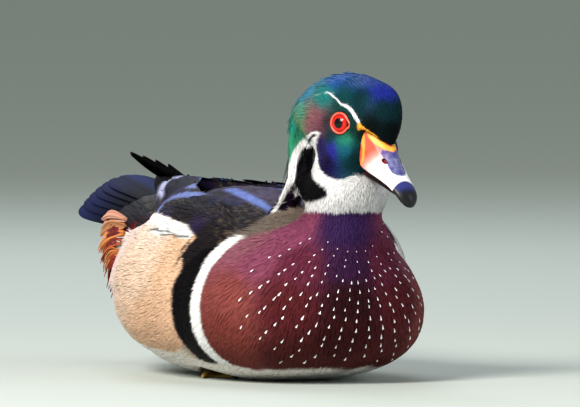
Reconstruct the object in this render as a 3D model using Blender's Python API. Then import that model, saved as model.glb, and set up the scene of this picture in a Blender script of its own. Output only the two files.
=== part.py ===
"""A drake wood duck at life size, sitting on its belly as it floats, with its neck drawn in.

The body heads along +X, its left side is +Y and up is +Z. The origin is on the flat under the belly.
Lengths in this file are millimetres until a mesh is made, and every mesh is in metres.
"""

import math

import bmesh
import bpy
from mathutils import Matrix, Vector

# Driving sizes, in millimetres and degrees
MM = 0.001
GAP = 0.3
VANE = 0.8
ROOT_LIFT = -0.8
# Room round a wing's core for the feathers on it
FEATHER_ROOM = 1.7
# Steepest corner that a grown cutter still clears in full
SHARPEST = 0.35
FLAT_ANGLE = 0.5
# Feather outlines: share of the length, share of the half width
ROUND_VANE = ((0.0, 0.5), (0.5, 1.0), (0.85, 0.78), (1.0, 0.15))
LONG_VANE = ((0.0, 0.6), (0.5, 0.95), (0.92, 0.8), (1.0, 0.25))
POINTED_VANE = ((0.0, 0.6), (0.45, 1.0), (0.8, 0.55), (1.0, 0.08))
BODY_SIDES = 28
HEAD_SIDES = 24
BILL_SIDES = 16
TUBE_SIDES = 7
# Share of a surface's length over which its direction is taken
NEARBY = 0.02
CORE_RINGS = 10
CORE_STEPS = 6
SIDES = {"left": 1, "right": -1}

# Torso stations: along, half width, underside, back, height of the widest point, roundness of the upper side
TORSO = (
    (125.5, 2.0, 47.0, 53.0, 50.0, 2.0),
    (122.0, 17.0, 30.0, 68.0, 46.0, 1.8),
    (113.5, 35.0, 18.0, 78.0, 41.0, 1.6),
    (100.0, 48.0, 9.0, 84.0, 38.0, 1.55),
    (80.0, 57.5, 3.0, 87.5, 37.5, 1.65),
    (50.0, 64.0, -1.0, 90.5, 39.5, 1.85),
    (15.0, 66.5, -2.0, 94.5, 44.0, 2.05),
    (-25.0, 65.5, -2.0, 96.5, 47.0, 1.85),
    (-60.0, 57.5, 1.0, 94.5, 47.0, 1.52),
    (-90.0, 44.5, 12.0, 90.0, 53.0, 1.5),
    (-112.0, 32.0, 27.0, 85.0, 61.0, 1.7),
    (-128.0, 21.0, 44.0, 80.5, 66.0, 2.0),
    (-138.0, 12.0, 56.0, 76.0, 67.0, 2.0),
    (-142.0, 2.0, 65.0, 70.0, 67.5, 2.0),
)
BELLY_ROUNDNESS = 2.45

# Neck rings: centre, half length along the body, half width
NECK = (
    (101.0, 9.0, 122.0, 20.0, 15.0),
    (100.0, 8.5, 108.0, 23.5, 18.0),
    (99.0, 8.0, 98.0, 25.0, 20.5),
    (98.0, 7.5, 91.0, 24.5, 20.5),
    (96.5, 7.0, 85.0, 22.0, 18.5),
    (93.0, 5.5, 77.0, 28.0, 26.0),
    (88.0, 4.0, 66.0, 31.0, 34.0),
    (82.0, 2.0, 54.0, 32.0, 38.0),
    (76.0, 0.0, 40.0, 30.0, 34.0),
)
# Where the neck parts from the torso and from the head: a point on the cut and its upward direction
NECK_FOOT = ((124.0, 0.0, 86.5), (0.135, 0.0, 1.0))
NECK_TOP = ((100.0, 8.5, 110.0), (0.25, 0.08, 1.0))

# Head frame: the point midway between the eyes, and how the head turns and nods
HEAD_AT = (112.0, 12.1, 132.7)
HEAD_TURN = 18.0
HEAD_NOD = 34.0

# Head stations in the head's frame: along, half width, chin, crown, height of the widest point, roundness
HEAD = (
    (27.5, 1.5, -1.0, 3.5, 1.0, 2.0),
    (25.0, 4.5, -12.0, 6.5, -5.0, 2.2),
    (20.0, 8.8, -17.0, 13.0, -9.0, 2.6),
    (13.0, 13.2, -20.5, 20.8, -10.0, 3.2),
    (4.5, 15.0, -24.0, 24.4, -10.0, 3.3),
    (-5.0, 16.4, -27.0, 22.5, -10.0, 2.9),
    (-15.0, 18.0, -29.0, 17.0, -10.0, 2.3),
    (-24.5, 17.0, -30.0, 9.5, -10.0, 2.1),
    (-31.5, 14.0, -28.0, 1.0, -12.0, 2.0),
    (-35.5, 9.0, -24.0, -7.0, -13.0, 2.0),
    (-37.5, 2.0, -17.0, -12.0, -14.0, 2.0),
)
CHEEK_AT = (5.5, 9.5, -12.0)
CHEEK_RADII = (15.5, 11.0, 11.5)

EYE_AT = (0.5, 9.2, 0.0)
EYE_RADIUS = 6.1
LID_RADIUS = 5.6
LID_THICKNESS = 0.9
LID_OUT = 12.7

# Bill stations in the head's frame: along, half width, edge of the mouth, ridge
UPPER_BILL = (
    (6.0, 12.2, -13.0, 9.8),
    (13.0, 11.2, -14.5, 9.0),
    (20.0, 9.8, -14.8, 6.0),
    (27.0, 8.8, -13.6, 2.2),
    (36.0, 8.0, -11.6, -2.2),
    (43.0, 7.4, -10.6, -5.0),
    (48.5, 6.6, -11.4, -6.2),
    (52.0, 5.2, -12.8, -7.8),
    (54.4, 2.8, -13.8, -9.8),
    (55.2, 0.8, -13.4, -11.6),
)
LOWER_BILL = (
    (12.0, 7.8, -18.5, -15.3),
    (21.0, 7.4, -18.2, -15.4),
    (30.0, 6.8, -16.4, -13.6),
    (38.0, 6.2, -14.6, -12.0),
    (44.0, 5.2, -13.4, -11.5),
    (47.5, 2.6, -13.0, -12.2),
)
NOSTRIL_AT = (30.0, 4.7, -2.6)
NOSTRIL_RADII = (2.4, 1.3, 0.9)
# The edge of the face round the bill, seen from the side: below the mouth, mouth corner, brow, ridge, above it
BILL_EDGE = ((21.5, -30.0), (20.5, -15.0), (9.5, 5.6), (26.5, 2.6), (30.0, 30.0))
BILL_REACH = 70.0
BILL_ROOM_WIDTH = 22.0

# Mane stations in the head's frame: along, across, up, half width, depth down to what it lies on
MANE = (
    (-5.0, 0.0, 23.5, 8.0, 3.0),
    (-15.0, 0.0, 19.8, 12.5, 5.0),
    (-26.0, 0.0, 12.5, 16.5, 7.0),
    (-35.0, 0.0, 2.0, 18.0, 8.5),
    (-40.5, 0.0, -10.0, 17.5, 9.5),
    (-42.0, -0.5, -21.0, 16.0, 11.0),
    (-39.5, -1.2, -30.5, 13.5, 13.0),
    (-33.0, -3.0, -38.5, 11.5, 12.0),
    (-25.5, -5.5, -45.0, 9.5, 10.0),
    (-21.5, -8.0, -52.5, 9.5, 9.0),
    (-20.5, -10.5, -61.0, 7.5, 7.0),
    (-22.5, -12.5, -71.5, 3.0, 1.5),
)
# How far round the mane wraps, and how much flatter than a circle it is
MANE_WRAP = 80.0
MANE_FLATNESS = 0.75
# Tiers of locks or feathers: how many, root, tip, first and last place across, half width, lift at the tip
MANE_TIERS = (
    (4, 0.12, 0.46, -0.75, 0.75, 4.2, 0.7),
    (3, 0.42, 0.76, -0.65, 0.65, 4.8, 0.7),
    (3, 0.70, 1.02, -0.6, 0.6, 3.2, 0.6),
)

# Wing stations, left side: along, out, up, half breadth, lean of the face from upright, bend radius, thickness
WING = (
    (72.0, 43.0, 66.5, 7.0, 62.0, 42.0, 5.0),
    (52.0, 53.0, 72.0, 18.0, 56.0, 42.0, 8.0),
    (20.0, 55.5, 79.0, 26.0, 50.0, 42.0, 9.0),
    (-20.0, 50.5, 84.5, 26.0, 46.0, 42.0, 9.0),
    (-60.0, 30.0, 89.0, 17.0, 42.0, 40.0, 9.0),
    (-92.0, 14.5, 93.0, 11.0, 34.0, 38.0, 8.0),
    (-118.0, 9.5, 95.0, 7.0, 26.0, 38.0, 4.5),
    (-132.0, 7.0, 97.0, 5.0, 20.0, 38.0, 3.0),
)
WING_TIERS = (
    (4, 0.14, 0.38, -0.7, 0.8, 7.2, 1.0),
    (3, 0.34, 0.58, -0.65, 0.7, 7.4, 1.0),
    (3, 0.54, 0.80, -0.6, 0.7, 6.2, 1.0),
    (2, 0.74, 1.0, -0.4, 0.5, 4.6, 1.0),
)
# Flight feathers of the wing's tip, which crosses the rump: root, and the tip of the longest on each side
PRIMARY_ROOT = (-110.0, 12.0, 94.5)
PRIMARY_TIPS = {"left": (-182.0, -9.0, 108.0), "right": (-170.0, -3.0, 99.5)}
PRIMARIES = 5
PRIMARY_HALF_WIDTH = 4.2
# How each one lies from the next longer one: along, out and up
PRIMARY_STEP = (9.0, 1.6, -0.6)

# Flank stations: along, angle of the upper edge and of the lower edge from the back's middle, depth
FLANK = (
    (46.0, 74.0, 112.0, 0.6),
    (38.0, 62.0, 122.0, 2.6),
    (20.0, 52.0, 130.0, 4.6),
    (-15.0, 48.0, 134.0, 5.4),
    (-50.0, 50.0, 130.0, 5.2),
    (-82.0, 54.0, 120.0, 5.2),
    (-102.0, 60.0, 108.0, 4.4),
    (-114.0, 70.0, 92.0, 0.8),
)
FLANK_TIERS = (
    (3, 0.30, 0.56, -0.3, 0.7, 9.0, 0.9),
    (3, 0.52, 0.80, -0.4, 0.75, 9.5, 0.9),
    (3, 0.72, 0.95, -0.35, 0.55, 7.0, 0.9),
)

# Plume stations, left side: along, out, up, half breadth, half thickness
PLUME = (
    (-90.0, 40.0, 68.0, 3.0, 2.0),
    (-103.0, 42.5, 69.0, 9.0, 3.0),
    (-119.0, 41.5, 66.0, 11.0, 2.6),
    (-136.0, 40.0, 59.5, 11.0, 1.6),
    (-152.0, 38.5, 52.0, 11.0, 0.8),
)
PLUME_SIDES = 8
# The part of its length that is one body, before its locks part
PLUME_BODY = 0.6
PLUME_TIERS = ((4, 0.25, 0.98, -0.9, 0.9, 3.4, 0.4),)

# Tail: root and tip along and up, half width and drop of its edge at both ends
TAIL_ROOT = (-128.0, 79.0)
TAIL_TIP = (-228.0, 93.0)
TAIL_HALF_WIDTH = (15.0, 25.0)
TAIL_DROP = (12.0, 7.5)
# The tail is turned about its length, so its right edge is lower: rise of the left edge at both ends
TAIL_TURN = (1.0, 7.0)
# Depth of its core along it, with the coverts below its root
TAIL_DEPTH = ((-0.12, 8.0), (0.06, 13.0), (0.22, 11.0), (0.42, 6.0), (0.62, 2.5), (0.78, 1.2))
TAIL_FEATHERS = 12
TAIL_FEATHER_HALF_WIDTH = 7.4
TAIL_GRADUATION = 0.06
TAIL_TIERS = ((3, -0.06, 0.34, -0.6, 0.6, 8.0, 1.4),)

# Feet: heel, turn outwards, toes as length and spread, and their thickness
FOOT_AT = (-22.0, 20.0)
FOOT_TURN = 6.0
TOES = ((46.0, 20.0), (53.0, 1.0), (44.0, -18.0))
# A toe from heel to claw: share of its length, height and radius; then its claw's tip
TOE = ((0.0, 2.4, 2.6), (0.35, 1.8, 2.0), (0.68, 1.6, 1.8), (1.0, 1.3, 1.4))
CLAW_LENGTH = 5.5
CLAW_TIP = (0.6, 0.25)
# The small toe that points back: distance from the heel, direction, height and radius
HIND_TOE = ((0.0, 180.0, 2.2, 2.2), (9.0, 170.0, 1.4, 1.3), (12.0, 170.0, 0.8, 0.3))
# The web's rows from the heel to its edge, as shares of its reach, and how far its edge dips between toes
WEB_ROWS = (0.05, 0.5, 1.0)
WEB_REACH = 0.82
WEB_DIP = 0.985
WEB_THICKNESS = 1.2
SHANK_RADIUS = 3.0
SHANK_FOOT = (3.0, 2.4)
SHANK_RADII = (1.8, 3.2, 2.7, 3.0)
SHANK_TOP = (-27.0, 24.0, 13.0)
# The hollow over a foot: its rows, how much wider it is, its height, and the room round the foot
FOOT_ROOM_ROWS = (-0.25, 0.5, 1.12)
FOOT_ROOM_SPREAD = 1.15
FOOT_ROOM_HEIGHT = 4.2
FOOT_ROOM = 1.2


def between(stations, steps):
    """Stations joined by a smooth curve that passes through each one (Catmull and Rom's)."""
    last = len(stations) - 1
    found = []
    for index in range(last):
        before = stations[max(index - 1, 0)]
        start, end = stations[index], stations[index + 1]
        after = stations[min(index + 2, last)]
        for step in range(steps):
            t = step / steps
            found.append(tuple(
                b + 0.5 * t * ((c - a) + t * ((2 * a - 5 * b + 4 * c - d) + t * (3 * (b - c) + d - a)))
                for a, b, c, d in zip(before, start, end, after)
            ))
    found.append(tuple(stations[last]))
    return found


def along_curve(stations, share):
    """The smooth curve's values at a share from 0 to 1 of the way through its stations."""
    place = min(max(share, 0.0), 1.0) * (len(stations) - 1)
    index = min(int(place), len(stations) - 2)
    t = place - index
    a = stations[max(index - 1, 0)]
    b, c = stations[index], stations[index + 1]
    d = stations[min(index + 2, len(stations) - 1)]
    return tuple(
        q + 0.5 * t * ((r - p) + t * ((2 * p - 5 * q + 4 * r - s) + t * (3 * (q - r) + s - p)))
        for p, q, r, s in zip(a, b, c, d)
    )


def power(value, exponent):
    """A signed power, which squares off or pinches a circle's sine and cosine."""
    return math.copysign(abs(value) ** exponent, value)


def section_point(angle, half_width, low, high, middle, roundness, low_roundness):
    """The point (y, z) at an angle from the top of one section, whose two halves have their own heights."""
    upper = math.cos(angle) > 0
    n = roundness if upper else low_roundness
    reach = high - middle if upper else middle - low
    return half_width * power(math.sin(angle), 2 / n), middle + reach * power(math.cos(angle), 2 / n)


def section(half_width, low, high, middle, sides, roundness, low_roundness=None):
    """Points (y, z) all round one section."""
    sizes = (half_width, low, high, middle, roundness, low_roundness or roundness)
    return [section_point(2 * math.pi * index / sides, *sizes) for index in range(sides)]


def loft(rings):
    """A closed bmesh through rings of points, in millimetres, that all have the same count."""
    mesh = bmesh.new()
    rows = [[mesh.verts.new(Vector(point) * MM) for point in ring] for ring in rings]
    count = len(rows[0])
    for row, following in zip(rows, rows[1:]):
        for index in range(count):
            after = (index + 1) % count
            mesh.faces.new((row[index], row[after], following[after], following[index]))
    mesh.faces.new(reversed(rows[0]))
    mesh.faces.new(rows[-1])
    bmesh.ops.triangulate(mesh, faces=mesh.faces)
    bmesh.ops.recalc_face_normals(mesh, faces=mesh.faces)
    return mesh


def ball(at, radii, segments, rings, frame):
    """An ellipsoid in a frame that is given in millimetres."""
    mesh = bmesh.new()
    scale = Matrix.Diagonal((radii[0], radii[1], radii[2], 1.0))
    place = Matrix.Scale(MM, 4) @ frame @ Matrix.Translation(Vector(at)) @ scale
    bmesh.ops.create_uvsphere(mesh, u_segments=segments, v_segments=rings, radius=1.0, matrix=place)
    bmesh.ops.triangulate(mesh, faces=mesh.faces)
    return mesh


def helper(mesh):
    """A bmesh as a plain object that no collection shows."""
    data = bpy.data.meshes.new("helper")
    mesh.to_mesh(data)
    return bpy.data.objects.new("helper", data)


def boolean(meshes, operation):
    """One bmesh from a list: the first joined with, or less, all the others, as its largest closed surface."""
    shown = bpy.context.scene.collection
    others = bpy.data.collections.new("helpers")
    first, *rest = [helper(mesh) for mesh in meshes]
    shown.objects.link(first)
    shown.children.link(others)
    for other in rest:
        others.objects.link(other)
    modifier = first.modifiers.new("boolean", "BOOLEAN")
    modifier.operation = operation
    modifier.operand_type = "COLLECTION"
    modifier.collection = others
    modifier.solver = "MANIFOLD"
    found = first.evaluated_get(bpy.context.evaluated_depsgraph_get())
    result = bmesh.new()
    result.from_mesh(found.to_mesh())
    found.to_mesh_clear()
    for made in (first, *rest):
        data = made.data
        bpy.data.objects.remove(made)
        bpy.data.meshes.remove(data)
    bpy.data.collections.remove(others)
    return largest(result)


def largest(mesh):
    """Drops every closed surface but the one that holds the most."""
    bmesh.ops.triangulate(mesh, faces=mesh.faces)
    left = set(mesh.faces)
    shells = []
    while left:
        stack = [left.pop()]
        shell = []
        while stack:
            face = stack.pop()
            shell.append(face)
            for edge in face.edges:
                for other in edge.link_faces:
                    if other in left:
                        left.remove(other)
                        stack.append(other)
        corners = [[vert.co for vert in face.verts] for face in shell]
        volume = sum(a.dot(b.cross(c)) for a, b, c in corners)
        shells.append((volume, shell))
    shells.sort(key=lambda pair: pair[0])
    for _, shell in shells[:-1]:
        bmesh.ops.delete(mesh, geom=shell, context="FACES")
    loose = [vert for vert in mesh.verts if not vert.link_faces]
    bmesh.ops.delete(mesh, geom=loose, context="VERTS")
    return mesh


def copied(mesh, grow):
    """A copy of a bmesh, with every face moved outwards by at least so many millimetres."""
    twin = mesh.copy()
    twin.normal_update()
    moves = []
    for vert in twin.verts:
        slack = min(vert.normal.dot(face.normal) for face in vert.link_faces)
        moves.append(vert.normal * grow * MM / max(slack, SHARPEST))
    for vert, move in zip(twin.verts, moves):
        vert.co += move
    return twin


def less(mesh, *others, room=GAP):
    """A mesh with room cut in it for its neighbours and the gap round them."""
    return boolean([mesh, *(copied(other, room) for other in others)], "DIFFERENCE")


def vane(spot, half_width, outline=ROUND_VANE, tilt=0.35):
    """A closed feather: spot gives, for a share of its length, a point, the way across and the way out."""
    rings = []
    for share, width in outline:
        at, across, face = spot(share)
        reach = across * half_width * width + face * tilt * width
        back = face * VANE
        rings.append([at - reach, at + reach, at + reach - back, at - reach - back])
    return loft(rings)


def along_surface(surface, start, end, lifts):
    """The spots of a feather that lies on a surface from one (share, across) to another and rises off it."""
    def spot(part):
        share, across, lift = (a + part * (b - a) for a, b in zip((*start, lifts[0]), (*end, lifts[1])))
        at = surface(share, across, lift)
        face = (surface(share, across, lift + 1.0) - at).normalized()
        way = (NEARBY * (end[0] - start[0]), NEARBY * (end[1] - start[1]))
        ahead = surface(share + way[0], across + way[1], lift)
        behind = surface(share - way[0], across - way[1], lift)
        return at, face.cross(ahead - behind).normalized(), face
    return spot


def tier(surface, sizes, outline=ROUND_VANE):
    """One row of overlapping feathers across a surface."""
    count, root, tip, first, last, half_width, lift = sizes
    found = []
    for index in range(count):
        across = first + index * (last - first) / (count - 1)
        reach = tip - (tip - root) * 0.12 * (index % 2)
        spot = along_surface(surface, (root, across * 0.95), (reach, across), (ROOT_LIFT, lift))
        found.append(vane(spot, half_width, outline))
    return found


def part_off(mesh, cut, keep_above):
    """The side of a mesh above or below a plane, capped, and half a gap away from it."""
    point, direction = Vector(cut[0]), Vector(cut[1]).normalized()
    side = 1 if keep_above else -1
    at = (point + direction * side * GAP / 2) * MM
    made = mesh.copy()
    geometry = [*made.verts, *made.edges, *made.faces]
    bmesh.ops.bisect_plane(made, geom=geometry, plane_co=at, plane_no=direction * -side, clear_outer=True)
    rim = [edge for edge in made.edges if edge.is_boundary]
    bmesh.ops.triangle_fill(made, edges=rim, use_beauty=True)
    bmesh.ops.recalc_face_normals(made, faces=made.faces)
    return largest(made)


def finish(name, mesh, material, collection):
    """Turns a bmesh into a named object in a collection, with the cut pieces of each flat facet made one again."""
    flat = math.radians(FLAT_ANGLE)
    bmesh.ops.dissolve_limit(mesh, angle_limit=flat, verts=mesh.verts, edges=mesh.edges, delimit=set())
    bmesh.ops.triangulate(mesh, faces=mesh.faces)
    data = bpy.data.meshes.new(name)
    mesh.to_mesh(data)
    mesh.free()
    made = bpy.data.objects.new(name, data)
    made.data.materials.append(material)
    collection.objects.link(made)
    return made


def colour(name, hex_value, roughness, metallic=0.0):
    """A Principled material from an sRGB hex colour."""
    made = bpy.data.materials.new(name)
    made.use_nodes = True
    shader = made.node_tree.nodes["Principled BSDF"]
    channels = [((hex_value >> shift) & 255) / 255 for shift in (16, 8, 0)]
    linear = [c / 12.92 if c <= 0.04045 else ((c + 0.055) / 1.055) ** 2.4 for c in channels]
    shader.inputs["Base Color"].default_value = (*linear, 1.0)
    shader.inputs["Roughness"].default_value = roughness
    shader.inputs["Metallic"].default_value = metallic
    return made


def head_frame():
    """The matrix from the head's own frame, in millimetres, to the body's."""
    turn = Matrix.Rotation(math.radians(HEAD_TURN), 4, "Z")
    nod = Matrix.Rotation(math.radians(HEAD_NOD), 4, "Y")
    return Matrix.Translation(Vector(HEAD_AT)) @ turn @ nod


def torso_shape():
    rings = []
    for along, half_width, low, high, middle, roundness in between(TORSO, 2):
        ring = section(half_width, low, high, middle, BODY_SIDES, roundness, BELLY_ROUNDNESS)
        rings.append([(along, y, z) for y, z in ring])
    return loft(rings)


def neck_shape():
    rings = []
    for along, across, up, long_half, wide_half in between(NECK, 2):
        ring = []
        for index in range(BODY_SIDES):
            angle = 2 * math.pi * index / BODY_SIDES
            ring.append((along + long_half * math.cos(angle), across + wide_half * math.sin(angle), up))
        rings.append(ring)
    return loft(rings)


def head_shape():
    frame = head_frame()
    rings = []
    for along, half_width, low, high, middle, roundness in between(HEAD, 2):
        ring = section(half_width, low, high, middle, HEAD_SIDES, roundness)
        rings.append([frame @ Vector((along, y, z)) for y, z in ring])
    return loft(rings)


def mirrored(at, side):
    """A point on the left, or its mirror image on the right."""
    return Vector((at[0], at[1] * side, at[2]))


def on_side(mesh, name):
    """A left-hand mesh as it is, or turned into its right-hand twin."""
    if SIDES[name] < 0:
        bmesh.ops.scale(mesh, vec=(1, -1, 1), verts=mesh.verts)
        bmesh.ops.reverse_faces(mesh, faces=mesh.faces)
    return mesh


def cheek_shape(side):
    return ball(mirrored(CHEEK_AT, side), CHEEK_RADII, 12, 8, head_frame())


def eye_shape(side):
    return ball(mirrored(EYE_AT, side), (EYE_RADIUS,) * 3, 14, 9, head_frame())


def socket_shape(side):
    """The round opening in the feathers in front of the eye."""
    mesh = bmesh.new()
    turned = Matrix.Rotation(math.radians(90), 4, "X")
    at = mirrored((EYE_AT[0], LID_OUT + 7.0, EYE_AT[2]), side)
    place = Matrix.Scale(MM, 4) @ head_frame() @ Matrix.Translation(at) @ turned
    bmesh.ops.create_cone(
        mesh, cap_ends=True, segments=16, radius1=LID_RADIUS, radius2=LID_RADIUS, depth=14.0, matrix=place
    )
    bmesh.ops.triangulate(mesh, faces=mesh.faces)
    return mesh


def lid_shape(side):
    """The fleshy ring round the eye, a circle spun about the line of sight."""
    mesh = bmesh.new()
    frame = Matrix.Scale(MM, 4) @ head_frame()
    centre = frame @ mirrored((EYE_AT[0], LID_OUT, EYE_AT[2]), side)
    place = frame @ Matrix.Translation(mirrored((EYE_AT[0] + LID_RADIUS, LID_OUT, EYE_AT[2]), side))
    bmesh.ops.create_circle(mesh, segments=5, radius=LID_THICKNESS, matrix=place)
    sight = (frame.to_3x3() @ Vector((0, 1, 0))).normalized()
    bmesh.ops.spin(
        mesh, geom=[*mesh.verts, *mesh.edges], cent=centre, axis=sight, angle=2 * math.pi, steps=16, use_merge=True
    )
    bmesh.ops.triangulate(mesh, faces=mesh.faces)
    bmesh.ops.recalc_face_normals(mesh, faces=mesh.faces)
    return mesh


def bill_shape(stations):
    frame = head_frame()
    rings = []
    for along, half_width, low, high in between(stations, 2):
        middle = low + 0.25 * (high - low)
        ring = section(half_width, low, high, middle, BILL_SIDES, 1.8, 3.0)
        rings.append([frame @ Vector((along, y, z)) for y, z in ring])
    return loft(rings)


def moved_line(points, distance):
    """A line of points in a plane, moved sideways to its left by a distance, with its corners kept sharp."""
    points = [Vector(point) for point in points]
    ways = [(after - before).normalized() for before, after in zip(points, points[1:])]
    lefts = [Vector((-way.y, way.x)) for way in ways]
    found = []
    for index, point in enumerate(points):
        before = lefts[max(index - 1, 0)]
        after = lefts[min(index, len(lefts) - 1)]
        corner = (before + after).normalized()
        found.append(point + corner * distance / corner.dot(after))
    return found


def bill_room(grow):
    """A prism that holds all in front of the face's edge, grown back into the face by so many millimetres."""
    frame = head_frame()
    edge = moved_line(BILL_EDGE, grow)
    outline = [*edge, Vector((BILL_REACH, edge[-1].y)), Vector((BILL_REACH, edge[0].y))]
    return loft([[frame @ Vector((at.x, side * BILL_ROOM_WIDTH, at.y)) for at in outline] for side in (-1, 1)])


def mane_point(share, across, lift):
    """A point on the mane: share of its length, -1 to 1 across it, and millimetres off its face."""
    along, aside, up, half_width, _ = along_curve(MANE, share)
    ahead = along_curve(MANE, share + NEARBY)
    behind = along_curve(MANE, share - NEARBY)
    out = Vector((ahead[2] - behind[2], 0, behind[0] - ahead[0])).normalized()
    angle = across * math.radians(MANE_WRAP)
    bend = half_width / math.sin(math.radians(MANE_WRAP))
    bent = Vector((0, bend * math.sin(angle), 0)) + out * bend * MANE_FLATNESS * (math.cos(angle) - 1)
    face = Vector((0, math.sin(angle), 0)) + out * math.cos(angle)
    return head_frame() @ (Vector((along, aside, up)) + bent + face * lift)


def shell(surface, shares, depth):
    """A closed body under a surface: depth gives how deep it goes at a share of the length and place across."""
    rings = []
    for share in shares:
        steps = [2 * step / CORE_STEPS - 1 for step in range(CORE_STEPS + 1)]
        outer = [surface(share, across, 0.0) for across in steps]
        inner = [surface(share, 0.95 * across, -max(depth(share, across), VANE)) for across in steps]
        rings.append(outer + inner[::-1])
    return loft(rings)


def evenly(first, last, count):
    return [first + (last - first) * index / count for index in range(count + 1)]


def mane_shape():
    """The crest that falls from the crown down the back of the neck, a core under tiers of locks."""
    core = shell(
        mane_point, evenly(0.0, 1.0, CORE_RINGS), lambda share, across: along_curve(MANE, share)[4] * (1.1 - across ** 2)
    )
    locks = [lock for sizes in MANE_TIERS for lock in tier(mane_point, sizes, POINTED_VANE)]
    return boolean([core, *locks], "UNION")


def wing_point(share, across, lift):
    """A point on the left wing: share of its length, -1 (flank edge) to 1 (back edge), millimetres off it."""
    along, out, up, half_breadth, lean, bend, _ = along_curve(WING, share)
    lean = math.radians(lean)
    face = Vector((0, math.sin(lean), math.cos(lean)))
    rise = Vector((0, -math.cos(lean), math.sin(lean)))
    angle = across * half_breadth / bend
    at = Vector((along, out, up)) + rise * bend * math.sin(angle) + face * bend * (math.cos(angle) - 1)
    return at + (face * math.cos(angle) + rise * math.sin(angle)) * lift


def wing_core():
    def depth(share, across):
        return along_curve(WING, share)[6] * (1 - 0.8 * across ** 2)

    return shell(wing_point, evenly(0.0, 1.0, CORE_RINGS), depth)


def primary_spot(name, index):
    """The spots of one long flight feather, from the folded wing to its tip over the rump."""
    tip = Vector(PRIMARY_TIPS[name])
    step = Vector(PRIMARY_STEP) * index
    root = Vector(PRIMARY_ROOT) + Vector((0, step.y, step.z))
    end = tip + step
    face = Vector((0, math.sin(math.radians(20.0)), math.cos(math.radians(20.0))))

    def spot(part):
        at = root.lerp(end, part)
        at.z -= 3.0 * math.sin(math.pi * part)
        return at, face.cross(end - root).normalized(), face
    return spot


def wing_shape(name):
    """A folded wing as a left one: a core under tiers of coverts, and the long flight feathers."""
    feathers = [feather for sizes in WING_TIERS for feather in tier(wing_point, sizes)]
    for index in range(PRIMARIES):
        feathers.append(vane(primary_spot(name, index), PRIMARY_HALF_WIDTH, POINTED_VANE))
    return boolean([wing_core(), *feathers], "UNION")


def torso_at(along):
    """The torso's section at a place along the body."""
    places = between(TORSO, 8)
    for front, back in zip(places, places[1:]):
        if front[0] >= along >= back[0]:
            t = (front[0] - along) / (front[0] - back[0])
            return [a + t * (b - a) for a, b in zip(front, back)]
    return list(places[-1] if along < places[-1][0] else places[0])


def torso_point(along, degrees, lift):
    """A point on the torso's left at an angle from the middle of the back, so many millimetres off it."""
    _, half_width, low, high, middle, roundness = torso_at(along)
    sizes = (half_width, low, high, middle, roundness, BELLY_ROUNDNESS)
    angle, step = math.radians(degrees), math.radians(1.0)
    y, z = section_point(angle, *sizes)
    y0, z0 = section_point(angle - step, *sizes)
    y1, z1 = section_point(angle + step, *sizes)
    face = Vector((0, z0 - z1, y1 - y0)).normalized()
    return Vector((along, y, z)) + face * lift


def flank_point(share, across, lift):
    """A point on the left flank's feathers: share of their length, -1 (belly edge) to 1 (wing edge)."""
    along, upper, lower, depth = along_curve(FLANK, share)
    degrees = (upper + lower) / 2 - across * (lower - upper) / 2
    swell = math.sqrt(max(1 - abs(across - 0.2) ** 2.2 / 1.3, 0.02))
    return torso_point(along, degrees, max(depth * swell, 0.6) + lift)


def flank_core():
    def depth(share, across):
        return along_curve(FLANK, share)[3] + 2.0

    return shell(flank_point, evenly(0.0, 1.0, CORE_RINGS), depth)


def flank_shape():
    """The feathers of the left flank, which cover the folded wing's lower edge."""
    feathers = [feather for sizes in FLANK_TIERS for feather in tier(flank_point, sizes)]
    return boolean([flank_core(), *feathers], "UNION")


def plume_point(share, across, lift):
    along, out, up, half_breadth, half_thickness = along_curve(PLUME, share)
    return Vector((along, out + half_thickness * math.sqrt(max(1 - across ** 2, 0)) + lift, up + half_breadth * across))


def plume_shape():
    """The loose plumes at the left side of the rump, one body that parts into locks."""
    rings = []
    for share in evenly(0.0, PLUME_BODY, 4):
        along, out, up, half_breadth, half_thickness = along_curve(PLUME, share)
        ring = []
        for index in range(PLUME_SIDES):
            angle = 2 * math.pi * index / PLUME_SIDES
            ring.append((along, out + half_thickness * math.cos(angle), up + half_breadth * math.sin(angle)))
        rings.append(ring)
    locks = [lock for sizes in PLUME_TIERS for lock in tier(plume_point, sizes, POINTED_VANE)]
    return boolean([loft(rings), *locks], "UNION")


def tail_point(share, across, lift):
    """A point on the tail's upper face, which is arched from side to side."""
    along = TAIL_ROOT[0] + share * (TAIL_TIP[0] - TAIL_ROOT[0])
    up = TAIL_ROOT[1] + share * (TAIL_TIP[1] - TAIL_ROOT[1])
    half = TAIL_HALF_WIDTH[0] + share * (TAIL_HALF_WIDTH[1] - TAIL_HALF_WIDTH[0])
    drop = TAIL_DROP[0] + share * (TAIL_DROP[1] - TAIL_DROP[0])
    turn = TAIL_TURN[0] + share * (TAIL_TURN[1] - TAIL_TURN[0])
    return Vector((along, half * across, up + turn * across - drop * across * across + lift))


def tail_shape():
    """The long tail: a core with the coverts below it, and its overlapping feathers."""
    depths = dict(TAIL_DEPTH)
    core = shell(tail_point, depths, lambda share, across: depths[share] * (1 - 0.6 * across ** 2))
    feathers = [feather for sizes in TAIL_TIERS for feather in tier(tail_point, sizes)]
    for index in range(TAIL_FEATHERS):
        across = 2 * (index + 0.5) / TAIL_FEATHERS - 1
        lifts = (ROOT_LIFT, 1.0 - 1.6 * abs(across))
        spot = along_surface(tail_point, (0.02, across * 0.9), (1.0 - TAIL_GRADUATION * across ** 2, across), lifts)
        tilt = math.copysign(0.4, -across)
        feathers.append(vane(spot, TAIL_FEATHER_HALF_WIDTH, LONG_VANE, tilt))
    return boolean([core, *feathers], "UNION")


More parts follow.
